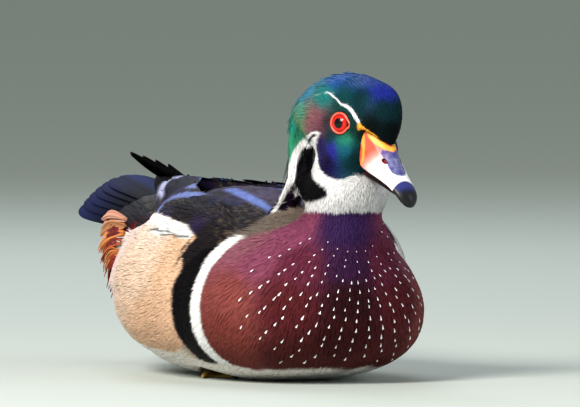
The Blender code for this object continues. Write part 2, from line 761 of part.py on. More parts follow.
def tube(points, radii):
    """A closed tube of changing radius along a line of points."""
    points = [Vector(point) for point in points]
    rings = []
    for index, (point, radius) in enumerate(zip(points, radii)):
        way = (points[min(index + 1, len(points) - 1)] - points[max(index - 1, 0)]).normalized()
        across = way.cross(Vector((0, 0, 1))).normalized()
        up = across.cross(way)
        angles = [2 * math.pi * step / TUBE_SIDES for step in range(TUBE_SIDES)]
        rings.append([point + (across * math.cos(a) + up * math.sin(a)) * radius for a in angles])
    return loft(rings)


def foot_point(reach, degrees, up):
    """A point on the left foot: how far from the heel, in which direction, and how high."""
    angle = math.radians(FOOT_TURN + degrees)
    return Vector((FOOT_AT[0] + reach * math.cos(angle), FOOT_AT[1] + reach * math.sin(angle), up))


def web_shape(low, high):
    """The web between the toes, as a plate from one height to another."""
    rings = []
    for part in WEB_ROWS:
        outer, middle, inner = (foot_point(length * WEB_REACH * part, spread, 0) for length, spread in TOES)
        dips = [toe.lerp(middle, 0.5) * WEB_DIP for toe in (outer, inner)]
        row = [outer, dips[0], middle, dips[1], inner]
        level = [point + Vector((0, 0, low)) for point in row]
        raised = [point + Vector((0, 0, high)) for point in row]
        rings.append(level + raised[::-1])
    return loft(rings)


def leg_shape():
    """The left leg folded under the belly: toes, claws and web flat on the floor, and the shank."""
    pieces = [web_shape(-1.0, WEB_THICKNESS)]
    for length, spread in TOES:
        points = [foot_point(share * length, spread, up) for share, up, _ in TOE]
        points.append(foot_point(length + CLAW_LENGTH, spread, CLAW_TIP[0]))
        pieces.append(tube(points, [radius for _, _, radius in TOE] + [CLAW_TIP[1]]))
    hind = [foot_point(reach, degrees, up) for reach, degrees, up, _ in HIND_TOE]
    pieces.append(tube(hind, [radius for _, _, _, radius in HIND_TOE]))
    heel = foot_point(0, 0, SHANK_RADIUS)
    top = Vector(SHANK_TOP)
    foot = foot_point(SHANK_FOOT[0], 0, SHANK_FOOT[1])
    pieces.append(tube([foot, heel, heel.lerp(top, 0.5), top], SHANK_RADII))
    return boolean(pieces, "UNION")


def foot_room():
    """The hollow in the belly over the left foot."""
    rings = []
    for part in FOOT_ROOM_ROWS:
        ring = [foot_point(length * part, spread * FOOT_ROOM_SPREAD, 0) for length, spread in TOES]
        low = [point + Vector((0, 0, -2.0)) for point in ring]
        high = [point + Vector((0, 0, FOOT_ROOM_HEIGHT)) for point in ring]
        rings.append(low + high[::-1])
    return copied(loft(rings), FOOT_ROOM)


def level_floor(mesh):
    """Cuts a mesh off flat at the floor."""
    block = bmesh.new()
    bmesh.ops.create_cube(block, size=1.0, matrix=Matrix.Translation((0, 0, -0.5)))
    return boolean([mesh, block], "DIFFERENCE")


def main():
    for old in list(bpy.data.objects):
        bpy.data.objects.remove(old)
    duck = bpy.data.collections.new("wood_duck")
    bpy.context.scene.collection.children.link(duck)
    burgundy = colour("burgundy_feather", 0x6B2A35, 0.5)
    green = colour("green_feather", 0x0F4A45, 0.3, 0.4)
    white = colour("white_feather", 0xEDE8E6, 0.6)
    black = colour("bronze_black_feather", 0x24222A, 0.45)
    buff = colour("buff_feather", 0xD9A878, 0.6)
    orange = colour("orange_plume", 0xB85A38, 0.6)
    horn = colour("bill_horn", 0xE8D8D0, 0.35)
    slate = colour("bill_dark", 0x1C1A1C, 0.4)
    red = colour("red_eye", 0xE82010, 0.2)
    skin = colour("foot_skin", 0xB08A3C, 0.5)

    torso, neck, head = torso_shape(), neck_shape(), head_shape()
    upper = bill_shape(UPPER_BILL)
    cheeks = [cheek_shape(side) for side in SIDES.values()]
    body = boolean([torso, neck, head, *cheeks, upper], "UNION")
    torso = level_floor(part_off(body, NECK_FOOT, False))
    neck = part_off(part_off(body, NECK_FOOT, True), NECK_TOP, False)
    head = part_off(body, NECK_TOP, True)
    head = boolean([head, bill_room(GAP / 2)], "DIFFERENCE")
    upper = boolean([upper, bill_room(-GAP / 2)], "INTERSECT")
    lower = boolean([bill_shape(LOWER_BILL), bill_room(-GAP / 2)], "INTERSECT")
    lower = less(lower, upper)
    eyes = {name: eye_shape(side) for name, side in SIDES.items()}
    head = boolean([head, *(socket_shape(side) for side in SIDES.values())], "DIFFERENCE")
    head = boolean([head, *(lid_shape(side) for side in SIDES.values())], "UNION")
    head = less(head, *eyes.values())
    nostrils = [ball(mirrored(NOSTRIL_AT, s), NOSTRIL_RADII, 10, 6, head_frame()) for s in SIDES.values()]
    upper = boolean([upper, *nostrils], "DIFFERENCE")

    rooms = [on_side(foot_room(), name) for name in SIDES]
    torso = boolean([torso, *rooms], "DIFFERENCE")
    mane = less(mane_shape(), torso, neck, head)
    tail = less(tail_shape(), torso)
    legs, wings, flanks, plumes = {}, {}, {}, {}
    for name in SIDES:
        legs[name] = level_floor(less(on_side(leg_shape(), name), torso))
        wings[name] = less(on_side(wing_shape(name), name), torso, neck)
        over_wing, over_flank = on_side(wing_core(), name), on_side(flank_core(), name)
        flank = less(less(on_side(flank_shape(), name), torso), over_wing, room=FEATHER_ROOM)
        flanks[name] = less(flank, wings[name])
        plume = less(on_side(plume_shape(), name), torso)
        plumes[name] = less(less(plume, over_wing, over_flank, room=FEATHER_ROOM), flanks[name])

    finish("torso", torso, burgundy, duck)
    finish("neck", neck, white, duck)
    finish("head", head, green, duck)
    finish("mane", mane, green, duck)
    finish("bill_upper", upper, horn, duck)
    finish("bill_lower", lower, slate, duck)
    finish("tail", tail, black, duck)
    for name in SIDES:
        finish("eye_" + name, eyes[name], red, duck)
        finish("wing_" + name, wings[name], black, duck)
        finish("flank_" + name, flanks[name], buff, duck)
        finish("plume_" + name, plumes[name], orange, duck)
        finish("leg_" + name, legs[name], skin, duck)


main()
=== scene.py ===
# %% [markdown]
# # A drake wood duck at life size
# The bird rests on its belly with its feet under it and looks round to its left. A live duck is soft
# feathers over a hard, simple body, so the model is made in the same order: one smooth skin, then a coat of
# small feathers that follow the lie of the real ones, then the large feathers of wings and tail, and last
# the hard parts: bill, eyes and feet. The markings are worked out once, as a function of a place on the
# body, so skin and feathers always agree.

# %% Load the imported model
import math

import bmesh
import bpy
import numpy as np
from mathutils import Matrix, Vector
from mathutils.bvhtree import BVHTree


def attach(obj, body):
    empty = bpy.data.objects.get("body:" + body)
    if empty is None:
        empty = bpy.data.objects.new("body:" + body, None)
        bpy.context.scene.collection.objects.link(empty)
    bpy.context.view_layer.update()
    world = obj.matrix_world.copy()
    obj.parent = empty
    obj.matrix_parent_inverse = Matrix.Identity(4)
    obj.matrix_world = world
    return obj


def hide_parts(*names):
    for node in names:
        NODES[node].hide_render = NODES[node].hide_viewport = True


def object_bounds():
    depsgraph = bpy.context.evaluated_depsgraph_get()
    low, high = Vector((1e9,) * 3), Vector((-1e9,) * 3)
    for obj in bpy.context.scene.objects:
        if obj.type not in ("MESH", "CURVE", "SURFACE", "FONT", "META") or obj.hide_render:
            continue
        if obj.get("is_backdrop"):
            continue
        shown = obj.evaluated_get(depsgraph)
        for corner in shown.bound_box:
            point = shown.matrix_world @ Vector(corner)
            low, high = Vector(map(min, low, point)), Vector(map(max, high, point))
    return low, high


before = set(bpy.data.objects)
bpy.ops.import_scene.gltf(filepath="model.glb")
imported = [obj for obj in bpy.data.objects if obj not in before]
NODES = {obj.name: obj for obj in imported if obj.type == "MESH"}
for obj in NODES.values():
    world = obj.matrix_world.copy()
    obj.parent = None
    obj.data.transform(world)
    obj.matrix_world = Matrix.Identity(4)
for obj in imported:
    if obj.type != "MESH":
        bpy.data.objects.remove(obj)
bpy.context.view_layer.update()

MM = 0.001
SIDES = {"left": 1, "right": -1}


def linked(name, data):
    """A new object with this data, in the scene."""
    made = bpy.data.objects.new(name, data)
    bpy.context.scene.collection.objects.link(made)
    return made


print("nodes:", ", ".join(sorted(NODES)))

# %% [markdown]
# ## The camera
# The photograph was taken with a long lens from low down, almost straight ahead of the bird. A long lens far
# away keeps the proportions flat, as they are there. The width of the view follows from one scale: how many
# pixels a millimetre of the bird takes up.

# %% Place the camera
PHOTO_SIZE = (580, 407)
PIXELS_PER_MM = 1.95
ORIGIN_PIXEL = (264.7, 375.0)
CAMERA_AZIMUTH = math.radians(70.0)
CAMERA_RISE = math.radians(3.0)
CAMERA_DISTANCE = 6.0
SENSOR = 36.0

camera_back = Vector((
    math.sin(CAMERA_AZIMUTH) * math.cos(CAMERA_RISE),
    -math.cos(CAMERA_AZIMUTH) * math.cos(CAMERA_RISE),
    math.sin(CAMERA_RISE),
))
camera_right = Vector((math.cos(CAMERA_AZIMUTH), math.sin(CAMERA_AZIMUTH), 0.0))
camera_up = camera_back.cross(camera_right)
aim = (
    camera_right * (PHOTO_SIZE[0] / 2 - ORIGIN_PIXEL[0]) + camera_up * (ORIGIN_PIXEL[1] - PHOTO_SIZE[1] / 2)
) * MM / PIXELS_PER_MM
camera = linked("camera", bpy.data.cameras.new("camera"))
camera.location = camera_back * CAMERA_DISTANCE
camera.rotation_euler = (aim - camera.location).to_track_quat("-Z", "Y").to_euler()
camera.data.sensor_width = SENSOR
camera.data.lens = SENSOR * CAMERA_DISTANCE / (PHOTO_SIZE[0] / PIXELS_PER_MM * MM)
camera.data.clip_end = 100.0
bpy.context.scene.camera = camera
print("lens", round(camera.data.lens), "mm")

# %% [markdown]
# ## The head's own frame
# The head is turned and nods, but its markings are easiest to think of on a head that looks straight ahead.
# One matrix takes a point of that level head to where it is on the bird, and its inverse brings it back.

# %% Frame of the head, in millimetres
HEAD_AT = (112.0, 12.1, 132.7)
HEAD_TURN = math.radians(18.0)
HEAD_NOD = math.radians(34.0)
head_frame = Matrix.Translation(HEAD_AT) @ Matrix.Rotation(HEAD_TURN, 4, "Z") @ Matrix.Rotation(HEAD_NOD, 4, "Y")
from_head = np.array(head_frame)
to_head = np.array(head_frame.inverted())


def moved(matrix, points):
    """Rows of points, moved by a 4 by 4 matrix."""
    return points @ matrix[:3, :3].T + matrix[:3, 3]


def unit(vectors):
    """Rows of vectors, each made one long."""
    return vectors / np.maximum(np.linalg.norm(vectors, axis=-1, keepdims=True), 1e-9)


def folded(points):
    """Rows of points, with those of the right side laid over the left side."""
    return np.stack([points[:, 0], np.abs(points[:, 1]), points[:, 2]], axis=1)


def mirrored(points, side):
    """Points or ways of the left side, taken to the side given: 1 is the left, -1 the right."""
    return np.array(points) * (1, side, 1)


# %% [markdown]
# ## The skin
# Torso, neck, head, folded wings and flanks are separate solids in the model, with fine gaps. A real bird's
# skin is one surface. Copies of the solids are swollen until they overlap, turned into voxels and back into one
# mesh and smoothed. The feathers' tips lie at this size, and the skin itself is drawn in later by their depth.

# %% One skin from copies of the solids
SWELL = 0.5
SKIN_VOXEL = 1.7
SKIN_SMOOTHING = 8
FLOOR_CLEAR = 0.3
# Balls in the hollow between the crest and the neck: centre and radius
FILLINGS = [((82.0, -6.5, 96.0), 5.5), ((83.0, -7.5, 102.0), 5.0)]
# A row of them fills the groove between the back and the front of each wing
GROOVE_FROM = (29.0, 33.5, 85.2)
GROOVE_TO = (62.0, 38.0, 71.8)
GROOVE_BALLS = 9
GROOVE_RADIUS = 6.0
for at in np.linspace(GROOVE_FROM, GROOVE_TO, GROOVE_BALLS):
    FILLINGS += [(mirrored(at, side), GROOVE_RADIUS) for side in SIDES.values()]
# The solids that the skin covers. Where the thin end of one is free feathers, the skin takes only what is in
# front of the place given.
BODY_PARTS = {
    "torso": None, "neck": None, "head": None, "mane": None, "tail": -176.0,
    "wing_left": -126.0, "wing_right": -126.0, "flank_left": None, "flank_right": None,
    "plume_left": -128.0, "plume_right": -128.0,
}


def merged_copy(name, cut_behind=None, swell=0.0):
    """A closed copy of a node's mesh, swollen a little, and cut off behind a place along the body if given."""
    mesh = bmesh.new()
    mesh.from_mesh(NODES[name].data)
    bmesh.ops.remove_doubles(mesh, verts=mesh.verts, dist=0.00001)
    if cut_behind is not None:
        geometry = [*mesh.verts, *mesh.edges, *mesh.faces]
        bmesh.ops.bisect_plane(
            mesh, geom=geometry, plane_co=(cut_behind * MM, 0, 0), plane_no=(-1, 0, 0), clear_outer=True
        )
        rim = [edge for edge in mesh.edges if edge.is_boundary]
        bmesh.ops.triangle_fill(mesh, edges=rim, use_beauty=True)
        bmesh.ops.recalc_face_normals(mesh, faces=mesh.faces)
    mesh.normal_update()
    moves = [vert.normal * swell * MM for vert in mesh.verts]
    for vert, move in zip(mesh.verts, moves):
        vert.co += move
    return mesh


def filling(at, radius):
    """A ball that fills a hollow between two solids."""
    mesh = bmesh.new()
    place = Matrix.Translation(Vector(at) * MM)
    bmesh.ops.create_icosphere(mesh, subdivisions=2, radius=radius * MM, matrix=place)
    return mesh


def remeshed(meshes, voxel, smoothing):
    """One smooth closed bmesh of even quads round everything in a list of closed bmeshes."""
    data = bpy.data.meshes.new("voxels")
    whole = bmesh.new()
    for mesh in meshes:
        mesh.to_mesh(data)
        whole.from_mesh(data)
        mesh.free()
    whole.to_mesh(data)
    whole.free()
    block = linked("voxels", data)
    modifier = block.modifiers.new("voxels", "REMESH")
    modifier.mode = "VOXEL"
    modifier.voxel_size = voxel * MM
    found = block.evaluated_get(bpy.context.evaluated_depsgraph_get())
    result = bmesh.new()
    result.from_mesh(found.to_mesh())
    found.to_mesh_clear()
    bpy.data.objects.remove(block)
    bpy.data.meshes.remove(data)
    for _ in range(smoothing):
        bmesh.ops.smooth_vert(
            result, verts=result.verts, factor=0.5, use_axis_x=True, use_axis_y=True, use_axis_z=True
        )
    result.normal_update()
    return result


skin_mesh = remeshed(
    [merged_copy(name, cut, SWELL) for name, cut in BODY_PARTS.items()] + [filling(*ball) for ball in FILLINGS],
    SKIN_VOXEL, SKIN_SMOOTHING,
)
inwards = [vert.normal * SWELL * MM for vert in skin_mesh.verts]
for vert, move in zip(skin_mesh.verts, inwards):
    vert.co -= move
    vert.co.z = max(vert.co.z, FLOOR_CLEAR * MM)
skin_mesh.normal_update()
print("skin:", len(skin_mesh.verts), "points")

# %% [markdown]
# The skin is kept as plain arrays too, in millimetres, because tens of thousands of feathers are placed on it
# and arrays are far quicker than one object at a time. A search tree answers the one question that the
# feathers ask: where is the nearest place on the skin?

# %% The skin as arrays, and which solid each part of it came from
skin_mesh.verts.ensure_lookup_table()
skin_points = np.array([vert.co for vert in skin_mesh.verts]) / MM
skin_normals = np.array([vert.normal for vert in skin_mesh.verts])
quads = [face for face in skin_mesh.faces if len(face.verts) == 4]
skin_faces = np.array([[vert.index for vert in face.verts] for face in quads])
skin_areas = np.array([face.calc_area() for face in quads]) / MM ** 2
skin_centres = skin_points[skin_faces].mean(axis=1)
skin_tree = BVHTree.FromPolygons(skin_points.tolist(), skin_faces.tolist())


def nodes_tree(names):
    """A search tree of some nodes' faces, in millimetres, and for each face the number of its node."""
    points, faces, owners = [], [], []
    for number, name in enumerate(names):
        data = NODES[name].data
        first = len(points)
        points += [vert.co / MM for vert in data.vertices]
        faces += [[first + corner for corner in face.vertices] for face in data.polygons]
        owners += [number] * len(data.polygons)
    return BVHTree.FromPolygons(points, faces), owners


PART_NAMES = list(BODY_PARTS)
solid_tree, solid_parts = nodes_tree(PART_NAMES)


def parts_at(points):
    """For each point, the number of the solid that it is nearest to."""
    return np.array([solid_parts[solid_tree.find_nearest(point)[2]] for point in points])


def is_part(parts, *names):
    """A mask of the points that belong to solids whose names begin in one of these ways."""
    wanted = [index for index, name in enumerate(PART_NAMES) if name.startswith(names)]
    return np.isin(parts, wanted)


skin_parts = parts_at(skin_centres)
print("faces of the skin by solid:", {name: int((skin_parts == i).sum()) for i, name in enumerate(PART_NAMES)})

# %% [markdown]
# ## The markings
# A wood duck's pattern is made of a few clear shapes: stripes, fingers, bars and patches. Each one is drawn
# once, as a short outline or line in millimetres on the left side, and its mirror image marks the right side.
# Colours between the marks change slowly, so they are given at a few named places and blended by distance.

# %% Tools for painting on places
def linear(hex_value):
    """An sRGB hex colour as the linear numbers that Blender uses."""
    channels = [((hex_value >> shift) & 255) / 255 for shift in (16, 8, 0)]
    return np.array([c / 12.92 if c <= 0.04045 else ((c + 0.055) / 1.055) ** 2.4 for c in channels])


def smooth_step(low, high, values):
    """0 up to the low value, 1 from the high one on, and a smooth rise between them."""
    t = np.clip((values - low) / (high - low), 0.0, 1.0)
    return t * t * (3 - 2 * t)


def segment_distance(points, start, end):
    """How far each point is from a straight piece of line, and how far along it the nearest place is."""
    way = end - start
    share = np.clip((points - start) @ way / (way @ way), 0.0, 1.0)
    return np.linalg.norm(points - start - share[:, None] * way, axis=1), share


def line_mask(points, line, widths, soft=0.5):
    """1 on a line of the given half widths at its points, 0 off it."""
    line = np.array(line, float)
    best = np.full(len(points), 1e9)
    for start, end, first, last in zip(line, line[1:], widths, widths[1:]):
        distance, share = segment_distance(points, start, end)
        best = np.minimum(best, distance - (first + (last - first) * share))
    return 1 - smooth_step(-soft, soft, best)


def outline_mask(flat, outline, soft=0.5):
    """1 inside a closed outline in a plane, 0 outside it."""
    outline = np.array(outline, float)
    inside = np.zeros(len(flat), bool)
    nearest = np.full(len(flat), 1e9)
    for start, end in zip(outline, np.roll(outline, -1, axis=0)):
        crosses = (start[1] > flat[:, 1]) != (end[1] > flat[:, 1])
        rise = end[1] - start[1] if end[1] != start[1] else 1e-9
        inside ^= crosses & (flat[:, 0] < start[0] + (end[0] - start[0]) * (flat[:, 1] - start[1]) / rise)
        nearest = np.minimum(nearest, segment_distance(flat, start, end)[0])
    signed = np.where(inside, nearest, -nearest)
    return smooth_step(-soft, soft, signed)


def blended(points, tracts, spread=16.0, power=2.4):
    """Colours between named places, each weighed by how near it is. A larger spread blends more softly."""
    places = np.array([place for place, _ in tracts.values()], float)
    colours = np.array([linear(colour) for _, colour in tracts.values()])
    away = ((points[:, None, :] - places[None]) ** 2).sum(axis=2) + spread
    weights = away ** -power
    return weights @ colours / weights.sum(axis=1, keepdims=True)


def painted(colour, *marks):
    """Colours with marks laid over them in turn: each is a mask, which is 1 where it covers, and its colour."""
    for mask, over in marks:
        over = linear(over) if isinstance(over, int) else over
        colour = colour + mask[..., None] * (over - colour)
    return colour


def mottle(points, size, seed=0.0):
    """A soft, even unevenness from -1 to 1, whose spots are about so many millimetres apart."""
    x, y, z = (points / size * 2.1).T
    wave = np.sin(x + 1.7 * np.sin(y * 0.9 + seed) + seed) + np.sin(1.3 * y + 1.4 * np.sin(z * 1.1 - seed))
    return (wave + np.sin(1.2 * z + 1.6 * np.sin(x * 1.15 + 2 * seed))) / 3


# %% [markdown]
# The head: iridescent blues and greens over the crown, an indigo cheek, a maroon patch behind the eye, and
# white that rises from the throat in two fingers with a black comma between them.

# %% Markings of the head, in its own frame: along, out, up
HEAD_TRACTS = {
    "forehead": ((22.0, 0.0, 9.0), 0x040A0A),
    "forehead_side": ((16.0, 10.0, 9.0), 0x050C0B),
    "forehead_top": ((14.5, 4.0, 18.5), 0x0A2A2C),
    "crown_front": ((6.0, 2.0, 23.5), 0x222E92),
    "crown": ((-5.0, 3.0, 22.5), 0x16367E),
    "crown_edge": ((-8.0, 9.0, 19.0), 0x103C6C),
    "crown_side": ((3.0, 12.0, 17.0), 0x082A2E),
    "crown_low": ((-6.0, 14.0, 13.0), 0x0C3E40),
    "hind_crown": ((-20.0, 8.0, 13.5), 0x164A92),
    "temple": ((-18.0, 16.0, 3.0), 0x207672),
    "over_eye": ((-3.0, 15.5, 6.5), 0x14403A),
    "before_eye": ((10.0, 14.0, 2.0), 0x0E2A24),
    "under_eye": ((8.5, 17.5, -3.5), 0x1E7458),
    "behind_eye": ((-8.0, 16.5, -6.0), 0x2A2C30),
    "patch": ((-14.5, 17.5, -7.5), 0x8A525E),
    "patch_low": ((-18.5, 16.0, -15.0), 0x885660),
    "patch_side": ((-21.0, 16.0, -12.0), 0x865A58),
    "patch_front": ((-11.0, 17.0, -9.5), 0x6A404C),
    "patch_rim": ((-25.5, 14.5, -20.5), 0x7C9468),
    "ear": ((-26.0, 16.0, -13.0), 0x4E9A80),
    "nape_top": ((-33.0, 12.0, -4.0), 0x2C88B0),
    "nape": ((-38.0, 0.0, -12.0), 0x2470A0),
    "nape_side": ((-32.0, 15.0, -25.0), 0x1E8A7A),
    "nape_low": ((-36.0, 4.0, -34.0), 0x145064),
    "crest_side": ((-28.0, 14.0, -31.0), 0x3A9A74),
    "crest": ((-27.0, -2.0, -43.0), 0x241A3C),
    "crest_end": ((-22.0, -10.0, -60.0), 0x221428),
    "crest_inside": ((-19.5, 9.0, -49.0), 0x1C1022),
    "crest_inside_low": ((-17.0, 12.0, -58.0), 0x1C1022),
    "crest_inside_end": ((-17.0, 11.0, -66.0), 0x1C1022),
    "cheek_top": ((1.0, 17.0, -9.0), 0x14302E),
    "cheek": ((6.5, 20.0, -12.0), 0x2C2690),
    "cheek_front": ((13.0, 17.5, -8.0), 0x0B4C5E),
    "cheek_rim": ((18.0, 14.0, -10.0), 0x0A2A2C),
    "cheek_back": ((-4.0, 17.0, -17.0), 0x1E1258),
    "cheek_low": ((5.0, 18.5, -20.0), 0x140A34),
}
# Each line below is a row of places along, out and up, with its half width at each of them
BROW = ((10.3, 13.2, 7.6), (7.1, 13.8, 8.7), (3.5, 14.2, 9.9), (-1.1, 14.7, 9.6), (-4.2, 15.1, 8.3),
        (-8.8, 15.3, 8.4), (-14.3, 14.8, 7.6), (-17.6, 15.3, 6.6), (-19.7, 16.3, 4.5), (-22.8, 16.7, 1.2))
BROW_WIDTHS = (0.8, 1.15, 1.05, 0.85, 0.5, 0.45, 0.45, 0.55, 0.55, 0.35)
# Bare yellow skin that runs up from the bill's corner to the brow
BILL_CORNER = ((10.8, 13.1, 7.0), (12.4, 12.4, 5.2), (15.5, 10.8, 4.4), (19.7, 8.0, 3.8))
BILL_CORNER_WIDTHS = (0.9, 1.6, 2.3, 2.0)
# The white stripe from behind the eye, over the step between head and crest, to the crest's end
CREST_STRIPE = ((-10.7, 17.2, -13.4), (-13.2, 16.8, -16.2), (-15.8, 15.4, -19.8), (-19.0, 14.0, -24.0),
                (-23.5, 10.5, -29.3), (-27.4, 5.8, -31.0), (-26.8, 8.2, -33.0), (-25.4, 10.6, -35.8),
                (-23.6, 11.6, -38.0), (-21.9, 12.8, -40.6), (-19.8, 13.5, -43.7), (-17.9, 13.8, -46.8),
                (-16.2, 15.5, -52.0), (-16.4, 16.2, -60.5), (-18.0, 16.0, -68.5), (-20.5, 15.5, -73.0))
CREST_STRIPE_WIDTHS = (0.7, 1.0, 1.2, 1.4, 1.5, 1.6, 1.6, 1.7, 1.9, 2.1, 2.1, 1.9, 1.6, 1.5, 1.2, 0.5)
# The thin white line that parts the black comma from the dark crest behind it
COMMA_RIM = ((-25.0, 9.5, -36.5), (-23.0, 10.8, -40.0), (-20.6, 11.8, -43.4), (-18.1, 11.8, -46.5),
             (-15.4, 10.1, -51.5), (-12.0, 9.0, -56.0))
COMMA_RIM_WIDTHS = (0.4, 0.8, 0.9, 1.0, 1.3, 1.6)
# The narrow top of the black comma, between the stripe and the white finger
COMMA_TOP = ((-11.4, 17.1, -15.3), (-14.2, 15.5, -19.2), (-16.9, 13.5, -23.4), (-20.0, 11.0, -28.0),
             (-24.0, 7.0, -33.5))
COMMA_TOP_WIDTHS = (0.7, 0.9, 1.0, 1.2, 1.4)
# From the side, along and up: the white of the face, and what is drawn on it. The crest stands out further
# than the neck, so the marks that cross both have one outline on each.
CREST_EDGE = ((-26.4, -32.6), (-25.4, -34.8), (-23.2, -37.7), (-21.1, -41.2), (-18.9, -44.7), (-16.4, -48.0),
              (-13.5, -51.7))
CREST_WHITE = CREST_EDGE + ((-6.0, -60.0), (10.0, -30.0), (-24.6, -31.0))
CREST_COMMA = CREST_EDGE + ((-2.0, -52.0), (-4.0, -43.0), (-10.5, -38.5), (-17.0, -35.5), (-21.6, -33.8),
                            (-24.4, -32.0))
CHEEK = ((-6.0, -8.0), (-8.5, -13.0), (-9.5, -19.0), (-9.0, -23.0), (-4.0, -26.0), (2.5, -26.8), (9.0, -26.0),
         (15.5, -23.8), (18.5, -21.5), (20.5, -18.0), (24.0, -15.0), (40.0, 0.0), (0.0, 40.0), (-6.0, 0.0))
WHITE_FACE = ((-8.5, -11.8), (-10.6, -13.6), (-16.5, -20.6), (-22.0, -27.5), (-27.0, -33.0), (-25.3, -37.3),
              (-22.5, -42.0), (-18.6, -47.0), (-15.8, -51.0), (-13.0, -55.0), (-12.0, -60.0), (-12.0, -95.0),
              (95.0, -95.0), (60.0, -12.0), (21.0, -14.0))
COMMA = ((-10.9, -14.6), (-16.8, -22.8), (-21.5, -29.2), (-24.5, -34.5), (-21.6, -40.3), (-18.9, -44.6),
         (-16.0, -50.5), (-11.0, -55.5), (0.0, -49.0), (8.5, -43.0), (14.5, -36.8), (17.0, -33.4),
         (14.9, -30.6), (9.9, -31.6), (1.0, -33.6), (-8.0, -35.0), (-15.5, -34.0), (-20.2, -30.4),
         (-19.2, -26.4), (-14.6, -20.0), (-11.2, -15.6))
BLACK = 0x0A080C
YELLOW = 0xF6A838
# The lines in the order they are laid on: places, half widths, softness of the edge, colour
HEAD_LINES = (
    (COMMA_RIM, COMMA_RIM_WIDTHS, 0.5, 0xECE8EC), (CREST_STRIPE, CREST_STRIPE_WIDTHS, 0.5, 0xF4F0F2),
    (COMMA_TOP, COMMA_TOP_WIDTHS, 0.3, BLACK), (BROW, BROW_WIDTHS, 0.3, 0xECEAF2),
    (BILL_CORNER, BILL_CORNER_WIDTHS, 0.3, YELLOW),
)
# Brightness of the white feathers, and how much painted shade darkens them under the bill
WHITE_LEVEL = 0.80
CHIN_SHADE = 0.28


def head_colours(points, crest):
    """Colour of the head and neck at places given in millimetres, where crest is 1 on the long crest."""
    own = folded(moved(to_head, points))
    side = own[:, (0, 2)]
    white = WHITE_LEVEL + 0.05 * mottle(points, 3.0)
    cream = np.stack([white, white * 0.985, white], axis=1)
    # Painted shade: the white is darker under the bill
    cream *= (1 - CHIN_SHADE * smooth_step(14.0, 26.0, side[:, 0]))[:, None]
    cheek = outline_mask(side, CHEEK)
    face = np.where(crest, outline_mask(side, CREST_WHITE), outline_mask(side, WHITE_FACE) * (1 - cheek))
    comma = np.where(crest, outline_mask(side, CREST_COMMA), outline_mask(side, COMMA))
    colour = painted(blended(own, HEAD_TRACTS), (face, cream), (comma * (own[:, 1] > 0.5), BLACK))
    lines = [(line_mask(own, line, widths, soft), shade) for line, widths, soft, shade in HEAD_LINES]
    return painted(colour, *lines)


# %% [markdown]
# The body: a burgundy breast that turns violet towards the neck and nearly black low down, a white and a black
# bar at its side, buff flanks, a white belly, and a dark bronze back with a blue and violet gloss. The dark
# violet under the collar and the near black on the breast's low front are painted shade, and the pale blue along
# the tops of the folded wings and the thin pale line round the flank's edge are painted sheen and a painted rim
# light.

# %% Markings of the body: along, out, up
BODY_TRACTS = {
    # Painted shade under the white collar
    "breast_top": ((117.0, 0.0, 80.0), 0x2E1A44),
    "breast_upper_side": ((98.0, 20.0, 80.0), 0x84405C),
    # Painted shade: the middle and the low front of the breast are darker than its sides
    "breast_centre": ((124.0, 0.0, 62.0), 0x331838),
    "breast_low": ((125.0, 0.0, 44.0), 0x2C1014),
    "breast_lower": ((118.0, 0.0, 26.0), 0x3A1416),
    "breast_beside": ((115.0, 24.0, 60.0), 0x5C2236),
    "breast_beside_low": ((112.0, 28.0, 44.0), 0x521C20),
    "breast_side": ((94.0, 38.0, 64.0), 0x82425A),
    "breast_side_low": ((88.0, 50.0, 44.0), 0x84423E),
    "breast_side_lower": ((84.0, 50.0, 26.0), 0x743630),
    "breast_shoulder": ((76.0, 38.0, 74.0), 0x86505E),
    "breast_under": ((103.0, 22.0, 14.0), 0x4A1C1C),
    "breast_under_side": ((74.0, 50.0, 10.0), 0x6A2C28),
    "belly": ((20.0, 20.0, -1.0), 0xF0EAE4),
    "belly_side": ((10.0, 54.0, 6.0), 0xEADCCA),
    "belly_back": ((-70.0, 10.0, 6.0), 0xE4DACE),
    "vent": ((-106.0, 10.0, 28.0), 0x8A7A70),
    "under_tail": ((-132.0, 6.0, 56.0), 0x322C30),
    "under_tail_end": ((-170.0, 6.0, 74.0), 0x2A262C),
    "rump_side": ((-110.0, 34.0, 56.0), 0x5A1E28),
    "plume": ((-115.0, 42.0, 66.0), 0x86302E),
    "rump": ((-118.0, 8.0, 82.0), 0x10141C),
    "rump_edge": ((-112.0, 30.0, 80.0), 0x181420),
    "tail_top": ((-160.0, 4.0, 86.0), 0x14181E),
}
BACK_TRACTS = {
    "back_rear": ((-80.0, 4.0, 96.0), 0x1C1A28),
    "back": ((-20.0, 4.0, 95.0), 0x342C40),
    # Painted sheen: the middle of the back is lighter here
    "back_sheen": ((20.0, 8.0, 94.0), 0x443A54),
    "back_front": ((55.0, 4.0, 90.0), 0x3A3244),
    "back_side": ((20.0, 27.0, 91.0), 0x17141A),
    "back_side_front": ((50.0, 25.0, 86.0), 0x1A161A),
    "back_side_rear": ((-15.0, 27.0, 94.0), 0x17141C),
    "wing_upper": ((0.0, 40.0, 92.0), 0x151216),
    "wing": ((-20.0, 54.0, 80.0), 0x121018),
    "wing_shoulder": ((30.0, 52.0, 80.0), 0x1C171A),
    "wing_front": ((56.0, 48.0, 70.0), 0x1A161A),
    "wing_back": ((-90.0, 20.0, 90.0), 0x0C0B18),
}
FLANK_TRACTS = {
    "front": ((40.0, 62.0, 58.0), 0xDDB494),
    "low": ((10.0, 62.0, 30.0), 0xDCB090),
    "middle": ((0.0, 68.0, 55.0), 0xE8C8B0),
    "top": ((0.0, 60.0, 78.0), 0xEED4C2),
    "back_top": ((-60.0, 52.0, 76.0), 0xEED8CE),
    "back": ((-70.0, 54.0, 50.0), 0xEED0C6),
    "end": ((-110.0, 38.0, 60.0), 0xE0C8C0),
}
